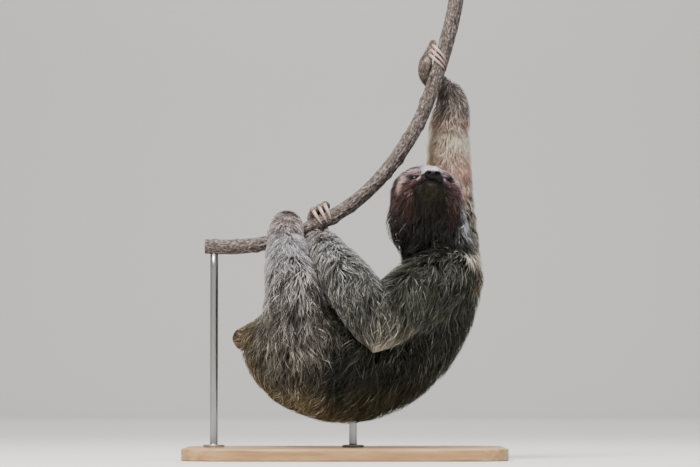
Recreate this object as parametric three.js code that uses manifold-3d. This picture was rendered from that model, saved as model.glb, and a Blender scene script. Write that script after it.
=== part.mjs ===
// A brown-throated three-toed sloth, life size, hanging under a cut length of vine on a display stand.
//
// Millimetres, +Z up. The origin is the middle of the base's underside. The sloth's spine lies in the
// plane Y = 0 with its rump towards -X and its neck rising at +X; its left side faces -Y.
//
// The flesh solids reach to the tips of the coat. The torso and the limbs' upper parts start as forms,
// functions that are negative inside the animal, built from round stations along the bones. A form is
// turned into a closed mesh of nearly square faces, then parted from its neighbours with thin cuts.

import * as THREE from "three";
import { mergeVertices } from "three/addons/utils/BufferGeometryUtils.js";
import Module from "manifold-3d";

const wasm = await Module();
wasm.setup();

// ---------------------------------------------------------------------------------------------------
// Driving dimensions
// ---------------------------------------------------------------------------------------------------

const GAP = 0.35; // left between two pieces that touch
const FIT = 1.4; // how far a rounded neighbour is grown before it is cut out of a piece

const BASE = { length: 480, depth: 300, height: 18, corner: 60, edge: 3 };
const ROD = { radius: 6, flange: 16, flangeHeight: 4 };
const VINE_ROD_X = -196; // stands under the vine's lower end
const BODY_ROD_X = 12; // stands under the lowest part of the back
const BODY_ROD_SINK = 8; // how deep the rod's end reaches into the coat

const EYE_RADIUS = 6.6;
const SIDES = { vine: 8, limb: 8, toe: 5, claw: 5, rod: 12 };

// Size of the faces, by how fine the form is.
const CELL = { trunk: 29, neck: 22, head: 13, tail: 14, limb: 25, nose: 5 };

// A point of a line, with the radius of what lies round it there.
const at = (x, y, z, r) => ({ x, y, z, r });

// The vine's centre line, from its lower cut end to its upper one.
const VINE = [
  at(-210, 0, 319, 10.6),
  at(-150, 0, 318.5, 10.6),
  at(-90, 0, 330.5, 11),
  at(-40, 0, 352.5, 11),
  at(5, 0, 379, 10.6),
  at(48, 0, 416, 10.2),
  at(85, 0, 462, 10.4),
  at(117, 0, 519, 10.4),
  at(139, 0, 580, 10.8),
  at(155, 0, 634, 11),
  at(164, 0, 672, 11.2),
  at(169, 0, 703, 11),
];

// The trunk hangs in a U, from the neck's root round the chest and the belly to the tail's root.
const TRUNK = [
  at(145, -8, 300, 48),
  at(140, 0, 243, 61),
  at(108, 0, 188, 70),
  at(60, 0, 153, 80),
  at(4, 0, 142, 89),
  at(-48, 0, 151, 84),
  at(-88, 0, 163, 66),
  at(-118, 0, 173, 40),
];
const TRUNK_DEEP = 1.08; // the trunk is a little wider across the animal than it is from back to belly
const TAIL = [at(-112, 0, 171, 30), at(-138, 0, 177, 20.5), at(-151, 0, 180.5, 17.5)];
const NECK = [at(146, -8, 292, 50), at(130, -24, 340, 50), at(127, -30, 385, 44)];
const RUFF = { x: 121, y: -34, z: 356, across: 62, deep: 48, tall: 62 }; // long hair round the neck

// The limbs, from shoulder or hip to the knuckles. joint is the station of the elbow or knee, end that
// of the wrist or ankle. Each foot holds the vine at x, with its toes at the slots along it, and faces
// the front (1, towards -Y) or the back (-1). Angles run round the vine from its upper side towards where
// the foot faces: a toe leaves the palm at palm and meets its claw at knuckle, and the claw ends at tip.
// slide is how far a claw runs back along the vine, reach the knuckles' distance from its centre line.
const LIMBS = {
  left_arm: {
    pieces: ["left_upper_arm", "left_forearm", "left_hand"],
    stations: [
      at(154, -42, 274, 48),
      at(122, -67, 257, 51),
      at(85, -89, 231, 48),
      at(52, -104, 203, 41),
      at(22, -105, 238, 41),
      at(0, -92, 270, 38),
      at(-21, -62, 297, 32),
      at(-35, -22, 317, 29),
      at(-38, 10, 323, 21),
      at(-40, 27, 347, 15),
      at(-45, 18, 363, 12.5),
    ],
    joint: 3,
    end: 7,
    grip: { x: -40, slots: [2, 12.5, 21.5], facing: 1, palm: -75, knuckle: 6, tip: 128, slide: 0 },
    toe: { radius: 6.6, claw: 3.5, reach: 24 },
  },
  right_arm: {
    pieces: ["right_upper_arm", "right_forearm", "right_hand"],
    stations: [
      at(160, 42, 278, 45),
      at(168, 50, 335, 35),
      at(163, 54, 390, 33.5),
      at(158, 53, 442, 34.5),
      at(158, 48, 494, 33),
      at(162, 44, 528, 28),
      at(158, 38, 552, 21),
      at(143, 32, 566, 15.5),
      at(127, 22, 573, 12.5),
      at(121, 10, 584, 11.5),
      at(121.5, 3, 597, 10),
    ],
    joint: 3,
    end: 6,
    grip: { x: 139, slots: [24, 31.5, 39], facing: 1, palm: -45, knuckle: 8, tip: 142, slide: -19.5 },
    toe: { radius: 6, claw: 3.1, reach: 23 },
  },
  left_leg: {
    pieces: ["left_thigh", "left_shin", "left_foot"],
    stations: [
      at(-66, -48, 160, 58),
      at(-74, -70, 205, 50),
      at(-74, -82, 243, 45),
      at(-83, -68, 283, 37),
      at(-87, -44, 324, 29),
      at(-87, -22, 346, 25.5),
      at(-85, 3, 351, 19),
      at(-81, 16, 348, 13),
    ],
    joint: 2,
    end: 4,
    grip: { x: -80, slots: [-9, 1, 11], facing: -1, palm: -20, knuckle: 38, tip: 150, slide: 0 },
    toe: { radius: 7, claw: 3.6, reach: 22 },
  },
  right_leg: {
    pieces: ["right_thigh", "right_shin", "right_foot"],
    stations: [
      at(-66, 48, 160, 58),
      at(-66, 68, 205, 52),
      at(-66, 80, 243, 46),
      at(-82, 66, 283, 36),
      at(-98, 44, 312, 24),
      at(-102, 30, 330, 16),
      at(-103, 20, 342, 12),
    ],
    joint: 2,
    end: 4,
    grip: { x: -101, slots: [-7.5, 0, 7.5], facing: 1, palm: -70, knuckle: -14, tip: 112, slide: -1 },
    toe: { radius: 5.4, claw: 3, reach: 20 },
  },
};
const CLAW_STEPS = 5;
const CLAW_NAMES = ["inner", "middle", "outer"];

// The head looks towards -Y with its chin raised. Its own axes run forward through the nose, up through
// the crown and to the side; their origin is midway between the eyes.
const HEAD = { x: 127.5, y: -66, z: 420, pitch: 27, roll: -4, yaw: 5 };
const EYES = { forward: -7.5, up: -3.6, side: 23.2 };
const NOSE = { forward: 23, up: -13.4 };

// ---------------------------------------------------------------------------------------------------
// Lines and forms
// ---------------------------------------------------------------------------------------------------

const pointOf = (s) => new THREE.Vector3(s.x, s.y, s.z);
const grown = (stations, by) => stations.map((s) => ({ ...s, r: s.r + by }));

// The stations with rounded ones put between them, evenly in each span (a Catmull-Rom spline).
function rounded(stations, perSpan) {
  const found = [];
  const last = stations.length - 1;
  const spline = (a, b, c, d, t) =>
    b + 0.5 * t * (c - a + t * (2 * a - 5 * b + 4 * c - d + t * (3 * (b - c) + d - a)));
  for (let i = 0; i < last; i++) {
    const near = [i - 1, i, i + 1, i + 2].map((n) => stations[THREE.MathUtils.clamp(n, 0, last)]);
    for (let s = 0; s < perSpan; s++) {
      const along = (key) => spline(...near.map((station) => station[key]), s / perSpan);
      found.push(at(...["x", "y", "z", "r"].map(along)));
    }
  }
  return [...found, stations[last]];
}

// A round tube through the stations. deep stretches it along Y about the stations' own plane.
function tube(stations, deep = 1) {
  const points = rounded(stations, 4);
  return (x, y, z) => {
    let nearest = Infinity;
    for (let i = 0; i + 1 < points.length; i++) {
      const a = points[i];
      const b = points[i + 1];
      const [ux, uy, uz] = [b.x - a.x, b.y - a.y, b.z - a.z];
      const [px, py, pz] = [x - a.x, (y - a.y) / deep, z - a.z];
      const t = THREE.MathUtils.clamp((px * ux + py * uy + pz * uz) / (ux * ux + uy * uy + uz * uz), 0, 1);
      const away = Math.hypot(px - t * ux, py - t * uy, pz - t * uz) - a.r - t * (b.r - a.r);
      nearest = Math.min(nearest, away);
    }
    return nearest;
  };
}

// An egg with these radii. local turns a point of the world into the egg's own coordinates.
function egg(local, ru, rv, rw) {
  return (x, y, z) => {
    const [u, v, w] = local(x, y, z);
    const near = Math.hypot(u / ru, v / rv, w / rw);
    const slope = Math.hypot(u / ru ** 2, v / rv ** 2, w / rw ** 2);
    return slope > 1e-6 ? (near * (near - 1)) / slope : -Math.min(ru, rv, rw);
  };
}

// Two distances joined with a fillet about as wide as k.
function blend(d, e, k) {
  const h = Math.max(k - Math.abs(d - e), 0) / k;
  return Math.min(d, e) - (h * h * k) / 4;
}
const joined = (forms, k) => (x, y, z) => forms.reduce((d, form) => blend(d, form(x, y, z), k), 1e3);
const hollowed = (form, hole, k) => (x, y, z) => -blend(-form(x, y, z), hole(x, y, z), k);

// A form closed off a little inside a box.
function within(form, [low, high], room) {
  return (x, y, z) => {
    const out = [x, y, z].map((v, axis) => Math.max(low[axis] + room - v, v - high[axis] + room));
    return Math.max(form(x, y, z), ...out);
  };
}

function boxRound(stations, room) {
  const low = ["x", "y", "z"].map((key) => Math.min(...stations.map((s) => s[key] - s.r)) - room);
  const high = ["x", "y", "z"].map((key) => Math.max(...stations.map((s) => s[key] + s.r)) + room);
  return [low, high];
}

// ---------------------------------------------------------------------------------------------------
// Meshes
// ---------------------------------------------------------------------------------------------------

// The surface where form equals level, as a closed mesh with one vertex in each grid cell that it crosses.
function surfaceOf(form, [low, high], cell, level) {
  const count = low.map((v, i) => Math.ceil((high[i] - v) / cell) + 1);
  const index = (i, j, k) => (k * count[1] + j) * count[0] + i;
  const place = (i, j, k) => [low[0] + i * cell, low[1] + j * cell, low[2] + k * cell];
  const value = new Float64Array(count[0] * count[1] * count[2]);
  for (let k = 0; k < count[2]; k++)
    for (let j = 0; j < count[1]; j++)
      for (let i = 0; i < count[0]; i++) value[index(i, j, k)] = form(...place(i, j, k)) - level;

  const vertexOf = new Map();
  const vertices = [];
  for (let k = 0; k + 1 < count[2]; k++)
    for (let j = 0; j + 1 < count[1]; j++)
      for (let i = 0; i + 1 < count[0]; i++) {
        const middle = crossing(([a, b, c]) => value[index(i + a, j + b, k + c)]);
        if (!middle) continue;
        vertexOf.set(index(i, j, k), vertices.length / 3);
        const start = place(i, j, k).map((v, axis) => v + cell * middle[axis]);
        vertices.push(...settled(form, level, start, cell / 2));
      }

  const faces = [];
  const steps = [[1, 0, 0], [0, 1, 0], [0, 0, 1]];
  for (let k = 1; k + 1 < count[2]; k++)
    for (let j = 1; j + 1 < count[1]; j++)
      for (let i = 1; i + 1 < count[0]; i++)
        for (let axis = 0; axis < 3; axis++) {
          const [s, t, u] = [steps[axis], steps[(axis + 1) % 3], steps[(axis + 2) % 3]];
          const inside = value[index(i, j, k)] < 0;
          if (inside === value[index(i + s[0], j + s[1], k + s[2])] < 0) continue;
          const quad = [[0, 0], [1, 0], [1, 1], [0, 1]].map(([m, n]) =>
            vertexOf.get(index(i - m * t[0] - n * u[0], j - m * t[1] - n * u[1], k - m * t[2] - n * u[2])),
          );
          const [a, b, c, d] = inside ? quad : quad.reverse();
          faces.push(a, b, c, a, c, d);
        }
  return meshOf(vertices, faces);
}

const CORNERS = [0, 1, 2, 3, 4, 5, 6, 7].map((c) => [c & 1, (c >> 1) & 1, c >> 2]);
const CELL_EDGES = CORNERS.flatMap((a, i) => {
  const apart = (b) => a.reduce((sum, v, axis) => sum + Math.abs(v - b[axis]), 0);
  return CORNERS.slice(i + 1).filter((b) => apart(b) === 1).map((b) => [a, b]);
});

// The middle of the points where a cell's edges cross the surface, or null where none does.
function crossing(valueAt) {
  const found = CELL_EDGES.flatMap(([a, b]) => {
    const [va, vb] = [valueAt(a), valueAt(b)];
    return va < 0 === vb < 0 ? [] : [a.map((v, axis) => v + (va / (va - vb)) * (b[axis] - v))];
  });
  if (!found.length) return null;
  return [0, 1, 2].map((axis) => found.reduce((sum, p) => sum + p[axis], 0) / found.length);
}

// A vertex moved along the form's slope until it lies on the surface, no farther than room on each axis.
function settled(form, level, start, room) {
  const step = 0.5;
  let point = start;
  for (let pass = 0; pass < 3; pass++) {
    const off = form(...point) - level;
    const slope = [0, 1, 2].map((axis) => {
      const ahead = [...point];
      ahead[axis] += step;
      return (form(...ahead) - level - off) / step;
    });
    const steep = slope.reduce((n, v) => n + v * v, 0) || 1;
    point = point.map((v, axis) => v - (off * slope[axis]) / steep);
  }
  return point.map((v, axis) => THREE.MathUtils.clamp(v, start[axis] - room, start[axis] + room));
}

// Rings of points, all with the same count, skinned into a closed mesh with flat ends.
function skinned(rings) {
  const sides = rings[0].length;
  const middle = (ring) => ring.reduce((sum, p) => sum.add(p), new THREE.Vector3()).divideScalar(sides);
  const points = [...rings.flat(), middle(rings[0]), middle(rings.at(-1))];
  const [start, end] = [rings.length * sides, rings.length * sides + 1];
  const top = start - sides;
  const faces = [];
  for (let s = 0; s < sides; s++) {
    const next = (s + 1) % sides;
    for (let r = 0; r < top; r += sides)
      faces.push(r + s, r + next, r + sides + next, r + s, r + sides + next, r + sides + s);
    faces.push(start, next, s, end, top + s, top + next);
  }
  return meshOf(points.flatMap((p) => p.toArray()), faces);
}

// Round rings square to a line of stations, each turned no more than the line itself turns.
function ringsAlong(stations, sides) {
  let side = null;
  return stations.map((s, i) => {
    const [before, after] = [stations[Math.max(i - 1, 0)], stations[Math.min(i + 1, stations.length - 1)]];
    const ahead = pointOf(after).sub(pointOf(before)).normalize();
    side ??= new THREE.Vector3(...(Math.abs(ahead.y) < 0.8 ? [0, 1, 0] : [1, 0, 0]));
    side = side.clone().addScaledVector(ahead, -side.dot(ahead)).normalize();
    const other = new THREE.Vector3().crossVectors(ahead, side);
    return Array.from({ length: sides }, (_, n) => {
      const angle = (2 * Math.PI * n) / sides;
      const out = side.clone().multiplyScalar(Math.cos(angle)).addScaledVector(other, Math.sin(angle));
      return pointOf(s).addScaledVector(out, s.r);
    });
  });
}

function meshOf(vertices, faces) {
  const geometry = new THREE.BufferGeometry();
  geometry.setAttribute("position", new THREE.Float32BufferAttribute(vertices, 3));
  return geometry.setIndex(faces);
}

// ---------------------------------------------------------------------------------------------------
// Solids
// ---------------------------------------------------------------------------------------------------

function solidOf(geometry) {
  const bare = geometry.clone();
  bare.deleteAttribute("normal");
  bare.deleteAttribute("uv");
  const merged = mergeVertices(bare, 1e-4);
  return new wasm.Manifold(
    new wasm.Mesh({
      numProp: 3,
      vertProperties: new Float32Array(merged.attributes.position.array),
      triVerts: new Uint32Array(merged.index.array),
    }),
  );
}

const carved = (form, box, cell, level = 0) =>
  solidOf(surfaceOf(within(form, box, 1.5 * cell), box, cell, level));
const loft = (stations, sides, by = 0) => solidOf(skinned(ringsAlong(grown(stations, by), sides)));
const ball = (centre, r) => solidOf(new THREE.IcosahedronGeometry(r, 1).translate(...centre.toArray()));

const joinedSolids = (solids) => solids.reduce((sum, solid) => sum.add(solid));
const without = (solid, others) => others.reduce((rest, other) => rest.subtract(other), solid);
const mainBody = (solid) => solid.decompose().sort((a, b) => b.volume() - a.volume())[0];

// What lies beyond a cut, and what lies before it, each less half a gap.
const beyond = (solid, { point, normal }, gap = GAP) =>
  solid.trimByPlane(normal.toArray(), normal.dot(point) + gap / 2);
const before = (solid, { point, normal }, gap = GAP) =>
  solid.trimByPlane(normal.clone().negate().toArray(), -normal.dot(point) + gap / 2);
const cutAt = (point, ...way) => ({ point, normal: new THREE.Vector3(...way).normalize() });

// A cut square to the way that a limb runs at one of its stations.
function cutAcross(stations, i) {
  const way = pointOf(stations[i + 1]).sub(pointOf(stations[i - 1]));
  return cutAt(pointOf(stations[i]), ...way.toArray());
}

// ---------------------------------------------------------------------------------------------------
// Head
// ---------------------------------------------------------------------------------------------------

const headTurn = new THREE.Matrix4()
  .makeTranslation(HEAD.x, HEAD.y, HEAD.z)
  .multiply(new THREE.Matrix4().makeRotationZ(THREE.MathUtils.degToRad(HEAD.yaw)))
  .multiply(new THREE.Matrix4().makeRotationX(-THREE.MathUtils.degToRad(HEAD.pitch)))
  .multiply(new THREE.Matrix4().makeRotationY(-THREE.MathUtils.degToRad(HEAD.roll)));
const headTurnBack = headTurn.clone().invert().elements;

// A point given on the head's axes, in the world, and eggs placed on the head's axes.
const headPoint = (forward, up, side) => new THREE.Vector3(side, -forward, up).applyMatrix4(headTurn);
function inHead(forward, up, side, radii) {
  const e = headTurnBack;
  const local = (x, y, z) => [
    -(e[1] * x + e[5] * y + e[9] * z + e[13]) - forward,
    e[2] * x + e[6] * y + e[10] * z + e[14] - up,
    e[0] * x + e[4] * y + e[8] * z + e[12] - side,
  ];
  return egg(local, ...radii);
}
const onBothSides = (forward, up, side, radii) => [side, -side].map((s) => inHead(forward, up, s, radii));

const skull = joined(
  [
    inHead(-42, -6, -4, [43, 42, 52]), // cranium
    inHead(-22, -7, 0, [27, 26, 39]), // face
    inHead(-24, -20, 27, [22, 21, 20]), // cheeks
    inHead(-24, -20, -28, [22, 21, 20]),
    inHead(-10, -29, 0, [24, 13, 24]), // lower jaw
    inHead(-7, -16, 0, [26, 12, 24]), // upper lips
    inHead(-34, -34, -4, [30, 24, 46]), // throat
  ],
  14,
);
const muzzle = joined([inHead(9, -13.5, 0, [21, 11, 15.5]), inHead(1, -27, 0, [19, 8, 17])], 8);
const brows = joined(onBothSides(-8, 4, 20, [9, 6, 12]), 6);
const eyeHollows = joined(onBothSides(EYES.forward + 11, EYES.up, EYES.side + 1, [8, 5, 9]), 1);
const headForm = hollowed(joined([skull, muzzle, brows], 9), eyeHollows, 5);
const noseForm = inHead(NOSE.forward, NOSE.up, 0, [8.2, 7.2, 12.4]);
const NOSE_BOX = [[100, -125, 400], [155, -70, 450]];

const eyeAt = (side, ahead = 0) => headPoint(EYES.forward + ahead, EYES.up, side * EYES.side);
const eyes = [1, -1].map((side) => eyeAt(side));
// Balls that open the head's fur in front of the eyes.
const lidsApart = [1, -1].map((side) => ball(eyeAt(side, 11), 9));
const faceHollows = [
  carved(noseForm, NOSE_BOX, CELL.nose, FIT),
  ...eyes.map((centre) => ball(centre, EYE_RADIUS + FIT)),
  ...lidsApart,
];

// ---------------------------------------------------------------------------------------------------
// Torso: trunk, tail, neck and head as one form, parted by planes
// ---------------------------------------------------------------------------------------------------

const ruff = egg((x, y, z) => [x - RUFF.x, y - RUFF.y, z - RUFF.z], RUFF.across, RUFF.deep, RUFF.tall);
const neckForm = joined([tube(NECK), ruff], 16);
const bodyForm = joined([tube(TRUNK, TRUNK_DEEP), neckForm], 22);
const tailForm = tube(TAIL);
const torso = (x, y, z) => {
  const tailed = blend(bodyForm(x, y, z), tailForm(x, y, z), 10);
  return blend(tailed, headForm(x, y, z), 16);
};

// Where the torso is parted, with the way to the piece beyond.
const HEAD_CUT = cutAt(headPoint(-60, -40, 0), 0, -0.5, 0.86);
const NECK_CUT = cutAt(new THREE.Vector3(143, -6, 296), -0.3, -0.12, 0.94);
const TAIL_CUT = cutAt(new THREE.Vector3(-127, 0, 175), -0.95, 0, 0.26);

// Boxes that hold each of the torso's pieces, as [low corner, high corner].
const TRUNK_BOX = [[-175, -125, 25], [240, 125, 360]];
const NECK_BOX = [[40, -115, 235], [235, 85, 455]];
const HEAD_BOX = [[50, -135, 295], [210, 50, 490]];
const TAIL_BOX = [[-200, -65, 110], [-75, 65, 245]];

// The torso's pieces, grown by a little where they are to be cut out of a neighbour.
function torsoPieces(by = 0) {
  const gap = by ? -by : GAP;
  const trunk = carved(torso, TRUNK_BOX, CELL.trunk, by);
  const neck = carved(torso, NECK_BOX, CELL.neck, by);
  return {
    trunk: before(before(trunk, NECK_CUT, gap), TAIL_CUT, gap),
    neck: before(beyond(neck, NECK_CUT, gap), HEAD_CUT, gap),
    head: beyond(carved(torso, HEAD_BOX, CELL.head, by), HEAD_CUT, gap),
    tail: beyond(carved(torso, TAIL_BOX, CELL.tail, by), TAIL_CUT, gap),
  };
}
const torsoSolids = torsoPieces();
const torsoRoom = Object.values(torsoPieces(FIT));

// ---------------------------------------------------------------------------------------------------
// Vine, toes and claws
// ---------------------------------------------------------------------------------------------------

const vineLine = rounded(VINE, 3);
const vine = (by = 0) => loft(vineLine, SIDES.vine, by);

// The vine's centre, radius and direction at x.
function vineAt(x) {
  const i = Math.max(vineLine.findIndex((p) => p.x > x), 1);
  const [a, b] = [vineLine[i - 1], vineLine[i]];
  const t = (x - a.x) / (b.x - a.x);
  const along = pointOf(b).sub(pointOf(a)).normalize();
  return { centre: pointOf(a).lerp(pointOf(b), t), radius: a.r + t * (b.r - a.r), along };
}

// A station beside the vine: its slot along it, its angle round it, and its distance from the centre line.
function besideVine(grip, slot, angle, distance, r) {
  const { centre, along } = vineAt(grip.x);
  const turn = THREE.MathUtils.degToRad(angle);
  const up = new THREE.Vector3(-along.z, 0, along.x);
  const p = centre.addScaledVector(along, slot).addScaledVector(up, distance * Math.cos(turn));
  return at(p.x, p.y - grip.facing * distance * Math.sin(turn), p.z, r);
}

// A toe runs from the palm over the vine to its claw.
function toeStations({ stations, grip, toe }, slot) {
  const halfway = THREE.MathUtils.lerp(grip.palm, grip.knuckle, 0.45);
  return [
    { ...stations.at(-2), r: toe.radius },
    { ...stations.at(-1), r: toe.radius * 1.15 },
    besideVine(grip, slot, halfway, toe.reach - 1, toe.radius),
    besideVine(grip, slot, grip.knuckle, toe.reach - 3, toe.radius * 0.9),
  ];
}

// A claw grows from the toe's end, hooks round the vine and thins to its tip.
function clawStations({ grip, toe }, slot) {
  const clear = vineAt(grip.x).radius + 2 * GAP;
  return Array.from({ length: CLAW_STEPS }, (_, i) => {
    const share = i / (CLAW_STEPS - 1);
    const r = toe.claw * (0.2 + 0.8 * (1 - share) ** 0.6);
    const angle = THREE.MathUtils.lerp(grip.knuckle - 8, grip.tip, share);
    const distance = THREE.MathUtils.lerp(toe.reach - 3, clear + r, Math.min(1.6 * share, 1));
    return besideVine(grip, slot + grip.slide * share, angle, distance, r);
  });
}

const claws = Object.entries(LIMBS).flatMap(([name, limb]) =>
  limb.grip.slots.map((slot, i) => ({
    name: `${limb.pieces[2]}_${CLAW_NAMES[i]}_claw`,
    solid: loft(clawStations(limb, slot), SIDES.claw),
    room: loft(clawStations(limb, slot), SIDES.claw, GAP),
  })),
);
const gripRoom = [vine(GAP), ...claws.map(({ room }) => room)];

// ---------------------------------------------------------------------------------------------------
// Limbs
// ---------------------------------------------------------------------------------------------------

// An upper limb's form runs out over the torso in a fillet, and stops a little inside it.
function rooted(stations, fillet = 15) {
  const limb = tube(stations);
  return (x, y, z) => {
    const d = limb(x, y, z);
    return Math.max(blend(d, torso(x, y, z), fillet), d - 0.8 * fillet);
  };
}

// A station past b, straight on from a.
function past(a, b) {
  const p = pointOf(b).addScaledVector(pointOf(b).sub(pointOf(a)).normalize(), 0.9 * b.r);
  return at(p.x, p.y, p.z, b.r);
}

// A limb's three solids, each running on past the cuts that part them.
function limbShapes(limb, by = 0) {
  const { stations, joint, end } = limb;
  const upper = [...stations.slice(0, joint + 1), past(stations[joint - 1], stations[joint])];
  const lower = [past(stations[joint + 1], stations[joint]), ...stations.slice(joint, end + 2)];
  const toes = limb.grip.slots.map((slot) => loft(toeStations(limb, slot), SIDES.toe, by));
  return [
    carved(rooted(upper), boxRound(upper, 34), CELL.limb, by),
    loft(rounded(lower, 2), SIDES.limb, by),
    joinedSolids([loft(rounded(stations.slice(end - 1), 2), SIDES.limb, by), ...toes]),
  ];
}

// The limb's solids parted, with what is in their way cut out of them.
function limbSolids(limb, inTheWay) {
  const [joint, end] = [cutAcross(limb.stations, limb.joint), cutAcross(limb.stations, limb.end)];
  const [upper, lower, foot] = limbShapes(limb);
  const pieces = [before(upper, joint), before(beyond(lower, joint), end), beyond(foot, end)];
  return pieces.map((solid) => mainBody(without(solid, [...inTheWay, ...gripRoom])));
}

const { left_arm, right_arm, left_leg, right_leg } = LIMBS;
const limbs = [
  [left_arm, limbSolids(left_arm, torsoRoom)],
  [right_arm, limbSolids(right_arm, torsoRoom)],
  [left_leg, limbSolids(left_leg, [...torsoRoom, ...limbShapes(left_arm, FIT)])],
  [right_leg, limbSolids(right_leg, [...torsoRoom, ...limbShapes(left_leg, FIT)])],
];

// ---------------------------------------------------------------------------------------------------
// Display stand
// ---------------------------------------------------------------------------------------------------

function baseGeometry() {
  const { length, depth, height, corner, edge } = BASE;
  const [x, y, r] = [length / 2 - corner, depth / 2 - corner, corner - edge];
  const outline = new THREE.Shape();
  outline.absarc(x, y, r, 0, Math.PI / 2);
  outline.absarc(-x, y, r, Math.PI / 2, Math.PI);
  outline.absarc(-x, -y, r, Math.PI, 1.5 * Math.PI);
  outline.absarc(x, -y, r, 1.5 * Math.PI, 2 * Math.PI);
  const bevel = { bevelSize: edge, bevelThickness: edge, bevelSegments: 1 };
  const settings = { depth: height - 2 * edge, curveSegments: 4, ...bevel };
  const geometry = new THREE.ExtrudeGeometry(outline, settings);
  return geometry.translate(0, 0, edge);
}

// A round rod on a flange, from the base's top to a height.
function rodSolid(x, top) {
  const foot = BASE.height + GAP;
  const profile = [
    [0, foot],
    [ROD.flange, foot],
    [ROD.flange, foot + ROD.flangeHeight],
    [ROD.radius, foot + ROD.flangeHeight],
    [ROD.radius, top],
    [0, top],
  ].map(([r, z]) => new THREE.Vector2(r, z));
  return solidOf(new THREE.LatheGeometry(profile, SIDES.rod).rotateX(Math.PI / 2).translate(x, 0, 0));
}
const vineRod = rodSolid(VINE_ROD_X, vineAt(VINE_ROD_X).centre.z).subtract(vine(GAP));
const lowest = TRUNK.reduce((low, s) => Math.min(low, s.z - s.r), Infinity);
const bodyRod = mainBody(without(rodSolid(BODY_ROD_X, lowest + BODY_ROD_SINK), torsoRoom));

// ---------------------------------------------------------------------------------------------------
// The scene graph
// ---------------------------------------------------------------------------------------------------

const finish = (color, roughness, metalness = 0) => ({ color, roughness, metalness });
const FINISH = {
  coat: finish("#5f5c52", 0.9),
  face: finish("#8d7d74", 0.85),
  skin: finish("#2b2729", 0.45),
  eye: finish("#1a100c", 0.12),
  claw: finish("#b59d8e", 0.5),
  bark: finish("#6f6862", 0.85),
  wood: finish("#a98a66", 0.5),
  steel: finish("#8f9296", 0.35, 1),
};

const sloth = new THREE.Group();

function add(name, geometry, look) {
  const mesh = new THREE.Mesh(geometry, new THREE.MeshStandardMaterial(look));
  mesh.name = name;
  sloth.add(mesh);
}

function addSolid(name, solid, look) {
  const { vertProperties, triVerts } = solid.getMesh();
  const geometry = meshOf(vertProperties, Array.from(triVerts));
  geometry.computeVertexNormals();
  add(name, geometry, look);
}

addSolid("head", mainBody(without(torsoSolids.head, faceHollows)), FINISH.face);
addSolid("nose", carved(noseForm, NOSE_BOX, CELL.nose), FINISH.skin);
eyes.forEach((centre, i) => addSolid(["left_eye", "right_eye"][i], ball(centre, EYE_RADIUS), FINISH.eye));
for (const name of ["neck", "trunk", "tail"]) addSolid(name, mainBody(torsoSolids[name]), FINISH.coat);
for (const [limb, solids] of limbs) limb.pieces.forEach((name, i) => addSolid(name, solids[i], FINISH.coat));
for (const { name, solid } of claws) addSolid(name, solid, FINISH.claw);

addSolid("vine", vine(), FINISH.bark);
add("stand_base", baseGeometry(), FINISH.wood);
addSolid("stand_rod_vine", vineRod, FINISH.steel);
addSolid("stand_rod_body", bodyRod, FINISH.steel);

export default sloth;
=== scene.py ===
# A brown-throated three-toed sloth, life size, hanging from a cut length of vine on a display stand.
#
# The skin is one closed surface inside the coat. It starts as a form, a function that is negative inside
# the animal, built from round stations along the bones. Tufts of hair grow from the skin, lie along the
# body and end at the coat's outer face. Sizes are millimetres until a mesh is made from them.

import math

import bmesh
import bpy
import numpy as np
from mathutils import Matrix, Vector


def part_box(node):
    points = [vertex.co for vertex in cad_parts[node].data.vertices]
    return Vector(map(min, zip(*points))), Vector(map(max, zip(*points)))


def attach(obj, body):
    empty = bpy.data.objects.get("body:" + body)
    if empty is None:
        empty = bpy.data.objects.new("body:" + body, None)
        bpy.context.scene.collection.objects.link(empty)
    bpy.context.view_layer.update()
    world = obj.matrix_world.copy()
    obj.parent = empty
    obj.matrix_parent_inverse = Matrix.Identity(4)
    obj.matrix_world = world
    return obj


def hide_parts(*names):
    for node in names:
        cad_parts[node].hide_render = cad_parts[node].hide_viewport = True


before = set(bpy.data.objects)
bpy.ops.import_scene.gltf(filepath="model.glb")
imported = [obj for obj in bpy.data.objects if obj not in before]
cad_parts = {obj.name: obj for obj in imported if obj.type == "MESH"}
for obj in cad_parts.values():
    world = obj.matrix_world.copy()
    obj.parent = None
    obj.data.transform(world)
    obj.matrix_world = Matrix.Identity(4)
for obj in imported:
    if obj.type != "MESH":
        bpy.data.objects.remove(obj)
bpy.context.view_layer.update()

# ---------------------------------------------------------------------------------------------------
# Driving dimensions, in millimetres
# ---------------------------------------------------------------------------------------------------

MM = 0.001  # of a metre
BIG_CELL = 3.0  # the size of the skin's faces over the body
FAR = 90.0  # a distance at which one part no longer matters to another
MEASURED = 32  # how far out from its coat a part is measured; beyond that it counts as FAR
AT_A_TIME = 60000  # points measured together

# Stations along a line: x, y, z, the radius out to the tips of the coat, and the coat's depth there.
TRUNK = [
    (145, -8, 300, 48, 17),
    (140, 0, 243, 61, 20),
    (108, 0, 188, 70, 21),
    (60, 0, 153, 80, 21),
    (4, 0, 142, 89, 22),
    (-48, 0, 151, 84, 22),
    (-88, 0, 163, 66, 20),
    (-118, 0, 173, 40, 14),
]
TRUNK_DEEP = 1.08  # the trunk is a little wider across than it is from back to belly
TAIL = [(-112, 0, 171, 30, 9), (-138, 0, 177, 20.5, 7), (-151, 0, 180.5, 17.5, 7)]
NECK = [(146, -8, 292, 50, 17), (130, -24, 340, 50, 18), (127, -30, 385, 44, 14)]
RUFF = {"at": (121, -34, 356), "radii": (62, 48, 62), "coat": 19}  # long hair round the neck

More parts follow.
